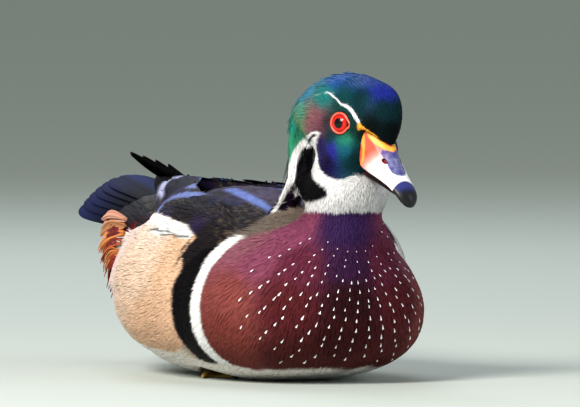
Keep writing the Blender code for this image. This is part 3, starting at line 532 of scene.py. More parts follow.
# On the left side loose pale feathers hang over the top of the black bar
LOOSE_PALE = ((41.0, 49.0, 82.0), (47.0, 52.0, 76.5), (54.0, 53.0, 71.0), (60.0, 53.0, 64.5), (62.0, 54.0, 58.0))
LOOSE_PALE_WIDTHS = (3.0, 5.5, 6.5, 5.5, 3.0)
# From the side, along and up
WHITE_BAR = ((60.0, -5.0), (59.5, 48.0), (59.0, 60.0), (61.0, 66.0), (63.5, 71.0), (67.5, 75.0), (71.0, 74.5),
             (70.0, 71.0), (67.2, 64.0), (66.6, 57.0), (67.8, 47.0), (69.0, 37.0), (70.0, -5.0))
BLACK_BAR = ((43.5, -5.0), (42.5, 52.0), (44.0, 56.5), (50.0, 62.5), (56.0, 67.5), (62.0, 69.5), (61.5, 60.0),
             (61.5, -5.0))
MANTLE = ((66.0, 72.0), (64.0, 78.0), (62.0, 90.0), (76.0, 92.0), (86.0, 84.0), (86.0, 80.0), (76.0, 75.5))
FLANK = ((46.0, 73.0), (43.2, 69.2), (41.4, 63.6), (43.6, 60.4), (44.0, 56.5), (42.5, 52.0), (43.0, 18.0),
         (20.0, 13.0), (-20.0, 12.0), (-60.0, 17.0), (-88.0, 28.0), (-104.0, 42.0), (-112.0, 55.0),
         (-108.0, 65.0), (-92.0, 72.0), (-60.0, 79.0), (-22.0, 83.0), (5.0, 82.0), (32.0, 79.0))
# A painted rim light: a thin pale line along the flank's top and rear edge, from the side
FLANK_RIM_LIGHT = ((-10.0, 82.5), (-40.0, 81.0), (-60.0, 78.5), (-92.0, 71.5), (-107.0, 64.0), (-111.0, 55.0),
             (-103.0, 42.0), (-86.0, 28.0))
RIM_LIGHT_HALF_WIDTH = 0.9
WHITE_LOBES = ((-30.0, 78.6), (-23.8, 84.0), (-6.6, 85.0), (11.0, 84.0), (14.2, 78.8), (17.0, 84.0), (26.0, 84.0),
               (34.8, 80.0), (42.6, 74.0), (42.0, 72.4), (29.6, 72.4), (27.0, 74.6), (13.0, 72.8), (0.0, 73.3),
               (-9.0, 74.1), (-3.3, 77.8), (-14.0, 77.2))
# Fine black tips of the flank's barred feathers, seen from the side: where each stroke starts and ends
COMB = (
    ((-9.7, 75.0), (3.0, 76.2)), ((1.0, 75.0), (20.0, 75.4)), ((12.3, 73.3), (27.0, 74.2)),
    ((26.0, 73.2), (40.0, 73.4)), ((42.6, 73.0), (41.2, 67.7)), ((41.6, 70.0), (39.0, 66.0)),
    ((41.2, 66.4), (38.6, 61.8)), ((41.4, 63.4), (38.0, 58.4)),
)
COMB_HALF_WIDTH = 0.5
COMB_STRENGTH = 0.9
# Height of the white belly's edge at places along the body
BELLY_ALONG = (-104.0, -86.0, -60.0, 20.0, 58.0, 90.0, 112.0, 126.0)
BELLY_EDGE = (34.0, 26.0, 17.0, 13.0, 9.0, 6.5, 10.0, 14.0)
# How strongly the violet, blue and bronze patches of the back show
PATCH_STRENGTH = 0.4
# Pale lines on the folded wings: a list of lines, each with its half widths and colour. The first two are painted
# sheen where the light catches the rounded top of the wing and the back beside it, the third is the pale tips of
# the flight feathers near the wing's end, and the last two are small pale blue patches further back.
WING_SHEEN_AND_TIPS = (
    (((-22.0, 51.0, 83.5), (-30.0, 43.5, 89.0), (-12.0, 38.5, 93.0), (4.0, 36.5, 94.0), (14.0, 30.0, 95.2),
      (19.0, 22.0, 94.0)), (1.2, 2.6, 3.4, 3.8, 3.4, 2.0), 0x7C8CD0),
    (((-20.0, 12.0, 95.0), (0.0, 14.5, 94.2), (15.5, 16.2, 92.6), (33.0, 16.4, 90.4), (50.0, 16.8, 88.0),
      (60.0, 18.5, 86.3)), (3.0, 3.4, 3.0, 2.8, 2.0, 0.6), 0x7084D0),
    (((-102.0, 19.5, 88.0), (-112.6, 16.6, 90.4), (-121.0, 11.7, 94.3), (-124.2, 7.5, 97.3), (-119.0, 2.5, 98.6)),
     (0.8, 1.8, 2.0, 2.0, 1.2), 0xC4C8F0),
    (((-42.0, 24.0, 97.0), (-30.0, 29.0, 96.6), (-22.0, 31.0, 96.0)), (1.2, 2.6, 1.2), 0x8494D4),
    (((-84.0, 5.0, 99.0), (-70.0, 8.0, 99.0), (-58.0, 11.0, 98.5)), (1.0, 2.4, 0.6), 0x82AAE4),
)
SHEEN_AND_TIP_STRENGTH = 0.75
# The white of the neck ends at this height, also on the part of the torso in front of this place
COLLAR_UP = 87.4
COLLAR_FROM = 82.0


def back_gloss(points, colour):
    """Colour of wings and back with violet, blue and bronze patches, painted sheen along the wings' tops and pale
    feather tips.
    """
    violet = smooth_step(0.2, 0.9, mottle(points, 16.0, 1.0))
    blue = smooth_step(0.3, 0.9, mottle(points, 21.0, 4.0))
    bronze = smooth_step(0.1, 0.8, mottle(points, 1.9, 2.0)) * smooth_step(-0.3, 0.6, mottle(points, 24.0, 3.0))
    patches = ((violet, 0x2E2052), (blue, 0x243064), (bronze, 0x7A664C))
    colour = painted(colour, *[(mask * PATCH_STRENGTH, shade) for mask, shade in patches])
    own = folded(points)
    # Painted sheen along the wings' tops, with the pale tips and patches laid on in the same way
    edges = [(line_mask(own, line, widths, 1.5) * SHEEN_AND_TIP_STRENGTH, shade) for line, widths, shade in WING_SHEEN_AND_TIPS]
    return painted(colour, *edges)


def flank_colours(colour, points, beside):
    """Colours with the buff flank laid over them: fine bars, a painted rim light along its edge, white lobes and
    a black comb.
    """
    own = folded(points)
    along, _, up = own.T
    side = own[:, (0, 2)]
    flank = outline_mask(side, FLANK) * beside
    bars = 0.94 + 0.06 * np.sin(up * 3.6 + along * 1.1 + 1.5 * mottle(points, 7.0))
    rim = line_mask(side, FLANK_RIM_LIGHT, [RIM_LIGHT_HALF_WIDTH] * len(FLANK_RIM_LIGHT), 0.8)
    colour = painted(
        colour,
        (flank, blended(own, FLANK_TRACTS) * bars[:, None]),
        # Painted rim light along the flank's edge
        (beside * rim * 0.8, 0xF4ECF2),
        (flank * outline_mask(side, WHITE_LOBES, 0.6), 0xF0EDEE),
    )
    for start, end in COMB:
        away = segment_distance(side, np.array(start), np.array(end))[0]
        stroke = 1 - smooth_step(0.0, 2 * COMB_HALF_WIDTH, away)
        colour = painted(colour, (flank * stroke * COMB_STRENGTH, 0x1C1618))
    return colour


def body_colours(points, parts):
    """Colour of the body at places given in millimetres, with the number of the solid at each."""
    own = folded(points)
    along, out, up = own.T
    side = own[:, (0, 2)]
    wing = is_part(parts, "wing")
    above = np.maximum(wing, smooth_step(71.0, 76.0, up) * (1 - smooth_step(68.0, 74.0, along)))
    above = above * (1 - smooth_step(104.0, 116.0, -along) * ~wing)
    colour = painted(blended(own, BODY_TRACTS), (above, back_gloss(points, blended(own, BACK_TRACTS))))
    beside = smooth_step(26.0, 34.0, out + 0.4 * (70 - up))
    colour = flank_colours(colour, points, beside * ~is_part(parts, "plume"))
    under = np.interp(along, BELLY_ALONG, BELLY_EDGE) + 1.5 * mottle(points, 9.0) - up
    return painted(
        colour,
        (outline_mask(side, MANTLE, 2.5), 0x685C52),
        (outline_mask(side, BLACK_BAR, 0.6) * beside, 0x0B090C),
        (outline_mask(side, WHITE_BAR) * beside, 0xFAF8F8),
        (line_mask(points, LOOSE_PALE, LOOSE_PALE_WIDTHS, 2.0), 0xC6C0BE),
        (smooth_step(-1.0, 1.0, under) * (along > BELLY_ALONG[0]), 0xEDE7E1),
    )


def plumage(points, parts):
    """The bird's colour at any place on it. The white neck ends at one height, whatever solid is there."""
    colour = body_colours(points, parts)
    above_collar = points[:, 2] > COLLAR_UP + 0.4 * mottle(points, 5.0)
    throat = is_part(parts, "neck") | (is_part(parts, "torso") & (points[:, 0] > COLLAR_FROM))
    head = is_part(parts, "head", "mane") | (throat & above_collar)
    colour[head] = head_colours(points[head], is_part(parts[head], "mane"))
    return colour


# %% [markdown]
# ## Feathers as arrays
# Every feather here, from a bristle on the cheek to a flight feather, is the same thing: a path over the
# surface, a half width along it, and a thin closed body round it, flat on top with a keel below. They differ
# in how many rows and columns they get. The coat's small ones have the fewest, because there are tens of
# thousands, and that is also why they are made as arrays: one operator for each would take far too long.

# %% Bodies of feathers, many at once
KEEL = 0.35
# How far a feather's points look to the sides, and towards the tip
SIDE_TILT = 0.45
TIP_TILT = 0.22
draws = np.random.default_rng(11)


def feather_template(rows, columns):
    """Faces of one feather: rings of a few columns and a keel, a cap at the root and a tip point."""
    ring = columns + 1
    faces = [list(range(ring))[::-1]]
    for row in range(rows - 2):
        for step in range(ring):
            after = (step + 1) % ring
            base, following = row * ring, (row + 1) * ring
            faces.append([base + step, base + after, following + after, following + step])
    last, tip = (rows - 2) * ring, (rows - 1) * ring
    faces += [[last + step, last + (step + 1) % ring, tip] for step in range(ring)]
    return faces


def feather_points(paths, outs, ways, half_widths, shape, columns, keel=KEEL, camber=0.12):
    """Places of all feathers' points, the way each point looks, and its share of the length and width.

    The shape gives each row's share of the length and its width. A feather's points look almost straight out
    of the coat and a little to the sides, which is how overlapping barbs shade: softly, like one surface."""
    shares, outline = shape
    rights = unit(np.cross(ways, outs))
    places, looks, marks = [], [], []
    for row, share in enumerate(shares[:-1]):
        reach = (half_widths * outline[row])[:, None]
        out, right, at = outs[:, row], rights[:, row], paths[:, row]
        curl = ways[:, row] * TIP_TILT * (share - 0.4)
        for place in np.linspace(-1, 1, columns):
            places.append(at + right * reach * place - out * camber * reach * place * place)
            looks.append(out + right * SIDE_TILT * place + curl)
            marks.append((share, place))
        places.append(at - out * keel)
        looks.append(out + curl)
        marks.append((share, 0.0))
    places.append(paths[:, -1])
    looks.append(outs[:, -1] + ways[:, -1] * TIP_TILT)
    marks.append((1.0, 0.0))
    return np.stack(places, axis=1), unit(np.stack(looks, axis=1)), np.array(marks)


def toned(colours, spread):
    """Colours of feathers, with each feather a little lighter or darker than the next."""
    return colours * draws.normal(1.0, spread, len(colours))[:, None, None]


def paint(data, colours, gloss=0.0):
    """Gives a mesh's points their colours, and keeps how iridescent each one is beside them."""
    tint = data.color_attributes.new("plumage", "FLOAT_COLOR", "POINT")
    shine = np.broadcast_to(gloss, colours.shape[:-1])[..., None]
    rgba = np.concatenate([colours, shine], axis=-1)
    tint.data.foreach_set("color", np.clip(rgba, 0, 1).astype(np.float32).reshape(-1))


def feather_object(name, points, looks, colours, gloss, columns, rows, marks, patch_at, patch_size, sizes):
    """A mesh object of many feathers. Points, looks and colours have one row for each feather."""
    count, each = points.shape[:2]
    faces = feather_template(rows, columns)
    corners = np.concatenate([np.array(face) for face in faces])
    corner_counts = np.array([len(face) for face in faces])
    data = bpy.data.meshes.new(name)
    data.vertices.add(count * each)
    data.vertices.foreach_set("co", (points.reshape(-1) * MM).astype(np.float32))
    loops = (corners[None] + np.arange(count)[:, None] * each).reshape(-1)
    data.loops.add(len(loops))
    data.loops.foreach_set("vertex_index", loops.astype(np.int32))
    data.polygons.add(count * len(faces))
    starts = np.concatenate([[0], np.cumsum(np.tile(corner_counts, count))[:-1]])
    data.polygons.foreach_set("loop_start", starts.astype(np.int32))
    data.polygons.foreach_set("use_smooth", np.ones(count * len(faces), bool))
    data.update(calc_edges=True)
    data.normals_split_custom_set_from_vertices(looks.reshape(-1, 3).tolist())
    paint(data, colours, gloss)
    local = marks[corners]
    patch = data.uv_layers.new(name="OFBake")
    square = np.stack([local[:, 1] / 2, local[:, 0] - 0.5], axis=1)
    placed = patch_at[:, None, :] + square[None] * patch_size
    patch.data.foreach_set("uv", placed.astype(np.float32).reshape(-1))
    vane = data.uv_layers.new(name="vane")
    lengths, half_widths = sizes
    real = np.stack([local[None, :, 1] * half_widths[:, None], local[None, :, 0] * lengths[:, None]], axis=2)
    vane.data.foreach_set("uv", real.astype(np.float32).reshape(-1))
    data.uv_layers.active = patch
    return linked(name, data)


def walked(roots, ways, lengths, shares):
    """Paths over the body: each feather's places at shares of its length, the way out there and its run."""
    at, way = roots.copy(), ways.copy()
    places, outs, runs = [], [], []
    for step in np.diff(shares, append=1.0):
        found = [skin_tree.find_nearest(point) for point in at]
        at = np.array([hit[0] for hit in found])
        out = np.array([hit[1] for hit in found])
        way = unit(way - out * (way * out).sum(axis=1, keepdims=True))
        places.append(at)
        outs.append(out)
        runs.append(way)
        at = at + way * (lengths * step)[:, None]
    return np.stack(places, axis=1), np.stack(outs, axis=1), np.stack(runs, axis=1)


# %% [markdown]
# ## The lie of the coat
# Feathers are short round the bill and eyes and longer further back, and they run away from the bill, down
# the neck, out over the breast and back along the body. Each row below is a place on the left side, the way
# its feathers run, and their length and half width. Everywhere else is a blend of the nearest rows.

# %% Lie, length and width of the small feathers
HEAD_LIE = (
    ((-16.0, 12.0, -56.0), (-0.1, 0.0, -1.0), 5.0, 0.26),
    ((22.0, 0.0, 9.0), (-0.5, 0.0, 0.85), 2.4, 0.24),
    ((12.0, 0.0, 20.0), (-0.85, 0.0, 0.5), 3.6, 0.27),
    ((0.0, 0.0, 24.0), (-1.0, 0.0, 0.0), 5.0, 0.30),
    ((-18.0, 0.0, 18.0), (-0.9, 0.0, -0.4), 8.0, 0.34),
    ((17.0, 11.0, 0.0), (-1.0, 0.3, 0.35), 2.2, 0.22),
    ((19.0, 11.0, -12.0), (-1.0, 0.35, -0.1), 2.2, 0.22),
    ((8.0, 14.0, 10.0), (-1.0, 0.0, 0.3), 3.2, 0.26),
    ((6.0, 20.0, -12.0), (-1.0, 0.0, -0.2), 3.4, 0.27),
    ((0.0, 15.0, -8.0), (-1.0, 0.0, -0.3), 3.0, 0.24),
    ((-12.0, 17.0, -2.0), (-1.0, 0.0, -0.35), 5.0, 0.29),
    ((-12.0, 16.0, -17.0), (-0.85, 0.0, -0.6), 5.0, 0.30),
    ((-28.0, 14.0, -10.0), (-0.7, 0.0, -0.8), 9.0, 0.34),
    ((-24.0, 11.0, -36.0), (-0.3, 0.0, -1.0), 4.5, 0.26),
    ((-18.0, 12.0, -46.0), (-0.1, 0.0, -1.0), 5.0, 0.26),
    ((12.0, 0.0, -22.0), (-1.0, 0.0, -0.2), 3.4, 0.29),
    ((10.0, 14.0, -24.0), (-0.9, 0.0, -0.5), 4.0, 0.30),
)
BODY_LIE = (
    ((118.0, 10.0, 103.0), (-0.3, 0.1, -1.0), 4.5, 0.34),
    ((100.0, 24.0, 100.0), (-0.45, 0.2, -1.0), 5.5, 0.35),
    ((84.0, 18.0, 100.0), (-0.6, 0.1, -0.9), 8.0, 0.36),
    ((114.0, 16.0, 88.5), (0.15, 0.2, -1.0), 3.0, 0.22),
    ((119.0, 4.0, 88.5), (0.2, 0.0, -1.0), 3.0, 0.22),
    ((100.0, 26.0, 88.0), (-0.1, 0.3, -1.0), 3.2, 0.24),
    ((72.0, 47.0, 67.0), (-0.9, 0.3, -0.45), 5.0, 0.3),
    ((66.0, 56.0, 42.0), (-0.9, 0.1, -0.45), 5.0, 0.3),
    ((44.0, 62.0, 56.0), (-0.9, 0.1, -0.3), 5.0, 0.3),
    ((44.0, 64.0, 38.0), (-0.9, 0.1, -0.3), 5.5, 0.32),
    ((118.0, 4.0, 90.0), (0.2, 0.0, -1.0), 5.0, 0.36),
    ((118.0, 0.0, 80.0), (0.3, 0.0, -1.0), 6.5, 0.36),
    ((126.0, 0.0, 55.0), (0.0, 0.0, -1.0), 8.0, 0.40),
    ((112.0, 0.0, 22.0), (-0.8, 0.0, -0.7), 9.0, 0.48),
    ((108.0, 20.0, 74.0), (0.15, 0.65, -0.8), 7.0, 0.37),
    ((112.0, 28.0, 50.0), (-0.2, 0.35, -1.0), 8.5, 0.40),
    ((92.0, 34.0, 70.0), (-0.45, 0.7, -0.6), 8.0, 0.38),
    ((90.0, 50.0, 45.0), (-0.6, 0.3, -0.8), 9.0, 0.42),
    ((76.0, 34.0, 76.0), (-0.9, 0.5, -0.25), 9.0, 0.40),
    ((66.0, 54.0, 55.0), (-0.9, 0.15, -0.45), 5.0, 0.30),
    ((66.0, 58.0, 25.0), (-0.9, 0.0, -0.5), 6.0, 0.34),
    ((50.0, 60.0, 58.0), (-1.0, 0.1, -0.2), 5.5, 0.32),
    ((10.0, 68.0, 60.0), (-1.0, 0.0, -0.12), 11.0, 0.42),
    ((10.0, 62.0, 25.0), (-1.0, 0.0, -0.15), 11.0, 0.48),
    ((-70.0, 54.0, 60.0), (-1.0, -0.2, 0.0), 12.0, 0.44),
    ((-80.0, 40.0, 25.0), (-1.0, -0.2, 0.2), 11.0, 0.56),
    ((50.0, 0.0, 0.0), (-1.0, 0.0, 0.0), 11.0, 0.64),
    ((-60.0, 0.0, 2.0), (-1.0, 0.0, 0.1), 11.0, 0.64),
    ((-120.0, 0.0, 42.0), (-1.0, 0.0, 0.5), 12.0, 0.56),
    ((-165.0, 0.0, 70.0), (-1.0, 0.0, 0.2), 16.0, 0.64),
    ((-115.0, 42.0, 66.0), (-1.0, 0.0, -0.4), 15.0, 0.40),
    ((60.0, 0.0, 90.0), (-1.0, 0.0, 0.0), 9.0, 0.48),
    ((0.0, 0.0, 95.0), (-1.0, 0.0, 0.0), 11.0, 0.56),
    ((0.0, 50.0, 82.0), (-1.0, 0.0, 0.0), 11.0, 0.56),
    ((-110.0, 0.0, 86.0), (-1.0, 0.0, -0.1), 13.0, 0.52),
    ((-165.0, 0.0, 88.0), (-1.0, 0.0, 0.1), 15.0, 0.64),
)


def lie_rows():
    """All rows of both tables on both sides, as arrays in the body's frame."""
    places, runs, sizes = [], [], []
    turn = from_head[:3, :3]
    for table, in_head in ((HEAD_LIE, True), (BODY_LIE, False)):
        for place, run, length, half_width in table:
            for side in SIDES.values():
                at, way = mirrored(place, side), mirrored(run, side)
                places.append(moved(from_head, at) if in_head else at)
                runs.append(turn @ way if in_head else way)
                sizes.append((length, half_width))
    return np.array(places), unit(np.array(runs)), np.array(sizes)


LIE_PLACES, LIE_RUNS, LIE_SIZES = lie_rows()


def lie(points):
    """The way feathers run at each point, and their length and half width."""
    away = ((points[:, None, :] - LIE_PLACES[None]) ** 2).sum(axis=2) + 4.0
    weights = away ** -2.0
    weights /= weights.sum(axis=1, keepdims=True)
    return unit(weights @ LIE_RUNS), weights @ LIE_SIZES


print("rows of the lie, both sides:", len(LIE_PLACES))

# %% [markdown]
# The crest is a special case: its feathers run down the nape as one mane that hangs to the bird's right. Its
# middle line is the same as in the solids, and a feather on it runs along that line.

# %% The middle line of the crest
MANE = (
    (-5.0, 0.0, 23.5, 8.0), (-15.0, 0.0, 19.8, 12.5), (-26.0, 0.0, 12.5, 16.5), (-35.0, 0.0, 2.0, 18.0),
    (-40.5, 0.0, -10.0, 17.5), (-42.0, -0.5, -21.0, 16.0), (-39.5, -1.2, -30.5, 13.5),
    (-33.0, -3.0, -38.5, 11.5), (-25.5, -5.5, -45.0, 9.5), (-21.5, -8.0, -52.5, 9.5),
    (-20.5, -10.5, -61.0, 7.5), (-22.5, -12.5, -71.5, 3.0),
)
mane_line = moved(from_head, np.array(MANE)[:, :3])
mane_runs = unit(np.gradient(mane_line, axis=0))


def mane_lie(points):
    """The way the crest runs at each point."""
    away = ((points[:, None, :] - mane_line[None]) ** 2).sum(axis=2) + 2.0
    weights = away ** -2.0
    return unit(weights @ mane_runs)


# %% [markdown]
# ## The coat
# The feathers' roots are spread over the skin so that each patch of skin gets its share, more where they
# are small. Each one is walked over the body from its root, so it lies along it, and its tip ends at the
# body's own size. Each row of a feather takes the plumage's colour between its own place and the feather's
# middle, so the edges of the markings are crisp but not ruled.

# %% Plant the small feathers
# How many times over the feathers cover the skin, and where that differs
COVER = 3.6
COVER_OF = {"coat_belly": 2.6, "coat_crest": 5.0}
SMALL_SHAPE = ((0.0, 0.55, 1.0), (0.75, 1.0, 0.0))
CREST_SHAPE = ((0.0, 0.35, 0.7, 1.0), (0.7, 1.0, 0.8, 0.0))
CREST_STRETCH = 1.3
# How much feathers next to each other differ in direction, length, height and brightness
WAY_SPREAD = 0.06
LENGTH_SPREAD = (0.8, 1.2)
HEIGHT_SPREAD = 0.06
TONE_SPREAD = 0.12
ROOT_SINK = 0.4
DEEPEST = 0.75
# Side of a small feather's patch in its piece's map
PATCH = 0.003
EYE_CLEAR = 5.7
BILL_CLEAR = 0.12
# The middle of the ring round the left eye, and the way the eye looks, in the head's frame
EYE_RING_AT = np.array((0.2, 15.3, 0.0))
EYE_SIGHT = np.array((0.238, 0.955, 0.176))
bill_tree, _ = nodes_tree(("bill_upper", "bill_lower"))


def depth_of(lengths):
    """Depth of the coat where feathers have these lengths. It is shallow on the face and deeper behind."""
    return np.minimum(DEEPEST, 0.2 + 0.06 * lengths)


def clear_of_bill(point):
    """Whether a place is outside the bill."""
    hit, normal, _, away = bill_tree.find_nearest(point)
    return away > 5.0 or (Vector(point) - hit).dot(normal) > BILL_CLEAR


def clear_of_face(paths):
    """True for feathers that keep off the eyes and the bill."""
    own = moved(to_head, paths.reshape(-1, 3))
    from_ring = folded(own) - EYE_RING_AT
    off_sight = from_ring - (from_ring @ EYE_SIGHT)[:, None] * EYE_SIGHT
    on_eye = (np.linalg.norm(off_sight, axis=1) < EYE_CLEAR) & (np.linalg.norm(from_ring, axis=1) < 12.0)
    keep = ~on_eye.reshape(paths.shape[:2]).any(axis=1)
    near_bill = np.flatnonzero(keep & (own[:, 0].reshape(paths.shape[:2]).max(axis=1) > 6.0))
    for index in near_bill:
        keep[index] = all(clear_of_bill(point) for point in paths[index])
    return keep


def sphere_unwrap(points, centre, pole):
    """Places on a sheet: longitude and latitude of each point about a centre, with the poles given."""
    pole = Vector(pole).normalized()
    turn = np.array(pole.rotation_difference(Vector((0, 0, 1))).to_matrix())
    own = unit((points - np.array(centre)) @ turn.T)
    u = 0.5 + np.arctan2(own[:, 1], own[:, 0]) / (2 * math.pi)
    v = 0.5 + np.arcsin(np.clip(own[:, 2], -1, 1)) / math.pi
    return 0.01 + 0.98 * np.stack([u, v], axis=1)


# In front of this place the wing's coverts are small and part of the coat
COVERTS_FROM = -18.0
# Centres and poles of the maps' sheets
NECK_CORE = (99.0, 8.0, 98.0)
BREAST_CORE = (70.0, 0.0, 45.0)
BODY_CORE = (0.0, 0.0, 45.0)
TAIL_CORE = (-150.0, 0.0, 70.0)
UP, FORWARD, FORWARD_UP = (0, 0, 1), (1, 0, 0), (1, 0, 0.2)


def coat_areas():
    """Pieces of the coat: its faces, the centre and poles of its sheet, the solids it stands for, its slot."""
    x, y, z = skin_centres.T
    left = y > 0
    kinds = ("head", "neck", "mane", "flank", "wing", "tail", "plume", "torso")
    head, neck, mane, flank, wing, tail, plume, torso = (is_part(skin_parts, kind) for kind in kinds)
    breast = torso & (x > 58.0) & (z > 14.0)
    under = torso & ~breast & (z < 45.0)
    above = torso & ~breast & ~under
    return {
        "coat_head_left": (head & left, HEAD_AT, UP, (), "green_feather"),
        "coat_head_right": (head & ~left, HEAD_AT, UP, (), "green_feather"),
        "coat_neck": (neck, NECK_CORE, UP, (), "white_feather"),
        "coat_breast_left": (breast & left, BREAST_CORE, FORWARD_UP, (), "burgundy_feather"),
        "coat_breast_right": (breast & ~left, BREAST_CORE, FORWARD_UP, (), "burgundy_feather"),
        "coat_belly": (under, BODY_CORE, FORWARD, (), "white_feather"),
        "coat_back": (above, BODY_CORE, FORWARD, (), "bronze_black_feather"),
        "coat_flank_left": (flank & left, BODY_CORE, FORWARD, ("flank_left",), "buff_feather"),
        "coat_flank_right": (flank & ~left, BODY_CORE, FORWARD, ("flank_right",), "buff_feather"),
        "coat_wings": (wing & (x > COVERTS_FROM - 12.0), BODY_CORE, FORWARD, (), "bronze_black_feather"),
        "coat_tail_root": (tail | plume, TAIL_CORE, FORWARD, (), "bronze_black_feather"),
        "coat_crest": (mane, HEAD_AT, UP, ("mane",), "green_feather"),
    }


def rooted(faces, cover, stretch):
    """Roots scattered over faces of the skin, the face of each, the way its feather runs and its size."""
    sizes = lie(skin_centres[faces])[1]
    per_area = cover / (sizes[:, 0] * stretch * sizes[:, 1] * 1.6)
    chance = skin_areas[faces] * per_area
    chosen = np.repeat(faces, np.floor(chance + draws.random(len(faces))).astype(int))
    s, t = draws.random((2, len(chosen), 1))
    a, b, c, d = (skin_points[skin_faces[chosen, corner]] for corner in range(4))
    roots = (a * (1 - s) + b * s) * (1 - t) + (d * (1 - s) + c * s) * t
    ways, sizes = lie(roots)
    mane = is_part(skin_parts[chosen], "mane")
    ways[mane] = mane_lie(roots[mane])
    ways = unit(ways + draws.normal(0, WAY_SPREAD, ways.shape))
    return roots, chosen, ways, sizes[:, 0] * stretch * draws.uniform(*LENGTH_SPREAD, len(roots)), sizes[:, 1]


def planted(name, wanted, centre, pole, cover, shape, stretch):
    """One piece of the coat on the wanted faces of the skin."""
    shares = np.array(shape[0])
    roots, chosen, ways, lengths, half_widths = rooted(np.flatnonzero(wanted), cover, stretch)
    paths, outs, runs = walked(roots, ways, lengths, shares)
    keep = clear_of_face(paths)
    if is_part(skin_parts[chosen], "mane").any():
        keep &= ~is_part(parts_at(paths[:, -1]), "wing", "torso")
    paths, outs, runs, roots = paths[keep], outs[keep], runs[keep], roots[keep]
    lengths, half_widths, parts = lengths[keep], half_widths[keep], skin_parts[chosen[keep]]
    depth = depth_of(lengths)[:, None]
    levels = -depth * np.where(shares == 0.0, 1.0, 0.45 * (1 - shares)) - ROOT_SINK * (shares == 0.0)
    levels = levels + draws.normal(0, HEIGHT_SPREAD, paths.shape[:2]) * (shares > 0.0)
    seen = paths * 0.75 + paths[:, 1:2] * 0.25
    base = np.stack([plumage(seen[:, row], parts) for row in range(len(shares))], axis=1)
    paths = paths + outs * levels[:, :, None]
    paths[..., 2] = np.maximum(paths[..., 2], FLOOR_CLEAR)
    points, looks, marks = feather_points(paths, outs, runs, half_widths, shape, 2)
    row_of = np.searchsorted(shares, marks[:, 0])
    along = 0.76 + 0.32 * marks[:, 0]
    colours = toned(base[:, row_of], TONE_SPREAD) * along[None, :, None]
    gloss = np.stack([glossy(parts, base[:, row]) for row in range(len(shares))], axis=1)[:, row_of]
    sheet = sphere_unwrap(roots, centre, pole)
    made = feather_object(
        name, points, looks, colours, gloss, 2, len(shares), marks, sheet, PATCH, (lengths, half_widths)
    )
    print(name, len(roots), "feathers,", len(roots) * (2 * points.shape[1] - 4), "triangles")
    return made


def glossy(parts, colours):
    """How iridescent a place is: the dark and bright parts of the head and back, not the white ones."""
    bright = colours.mean(axis=1)
    head = is_part(parts, "head", "mane")
    back = is_part(parts, "wing", "tail")
    return np.where(head, 0.6, np.where(back, 0.25, 0.1)) * (1 - smooth_step(0.3, 0.5, bright))


coat = {}
for name, (wanted, centre, pole, stands_for, slot) in coat_areas().items():
    shape, stretch = (CREST_SHAPE, CREST_STRETCH) if name == "coat_crest" else (SMALL_SHAPE, 1.0)
    coat[name] = planted(name, wanted, centre, pole, COVER_OF.get(name, COVER), shape, stretch)
    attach(coat[name], "root")
    if stands_for:
        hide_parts(*stands_for)

# %% [markdown]
# The skin under the coat is drawn in by the coat's depth, and carries the same markings a little darker as
# painted shade, so a gap between two feathers shows their colours in shade and not a bare patch.

# %% Turn the skin into an object with the same markings
# Share of the markings' brightness that the skin keeps: the rest is painted shade between the feathers
SKIN_SHADE = 0.8


def smooth_object(name, mesh):
    """Turns a bmesh into an object that is shaded smooth."""
    data = bpy.data.meshes.new(name)
    mesh.to_mesh(data)
    mesh.free()
    data.polygons.foreach_set("use_smooth", np.ones(len(data.polygons), bool))
    return linked(name, data)


def put_points(made, places):
    """Moves an object's points to places given in millimetres."""
    made.data.vertices.foreach_set("co", (places * MM).astype(np.float32).reshape(-1))


skin_inside = skin_points - skin_normals * depth_of(lie(skin_points)[1][:, :1])
skin_inside[:, 2] = np.maximum(skin_inside[:, 2], 2 * FLOOR_CLEAR)
skin = smooth_object("skin", skin_mesh)
put_points(skin, skin_inside)
paint(skin.data, plumage(skin_points, parts_at(skin_points)) * SKIN_SHADE)
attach(skin, "root")
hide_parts("torso", "neck", "head")

# %% [markdown]
# ## Large feathers
# The feathers of the back, the wing's coverts, the flight feathers and the tail can be told apart, so each is
# a vane with more rows and columns. Rows of them overlap like roof tiles: a root is tucked under the row in
# front, and the tip rises over the row behind. Each has its own square in its map, as there are few.

# %% Vanes, and curves through stations
large = {}


def vane_shape(rows, shoulder, root_width=0.5):
    """Shares of the length for the rows, closer together near the tip, and widths that end round."""
    shares = 1 - (1 - np.linspace(0, 1, rows)) ** 1.6
    swell = root_width + (1 - root_width) * smooth_step(0.0, shoulder, shares)
    end = np.sqrt(np.clip(1 - (np.maximum(shares - shoulder, 0) / (1 - shoulder)) ** 2, 0, 1))
    return shares, swell * end


def curve(stations, shares):
    """Values at shares from 0 to 1 of a smooth curve that passes through its stations."""
    stations = np.array(stations, float)
    last = len(stations) - 1
    place = np.clip(shares, 0.0, 1.0) * last
    index = np.minimum(place.astype(int), last - 1)
    t = (place - index)[:, None]
    p, q = stations[np.maximum(index - 1, 0)], stations[index]
    r, s = stations[index + 1], stations[np.minimum(index + 2, last)]
    return q + 0.5 * t * ((r - p) + t * ((2 * p - 5 * q + 4 * r - s) + t * (3 * (q - r) + s - p)))


def atlas(count):
    """A square of the map for each feather: the middles, and the side of one."""
    side = math.ceil(math.sqrt(count))
    index = np.arange(count)
    return (np.stack([index % side, index // side], axis=1) + 0.5) / side, 0.92 / side


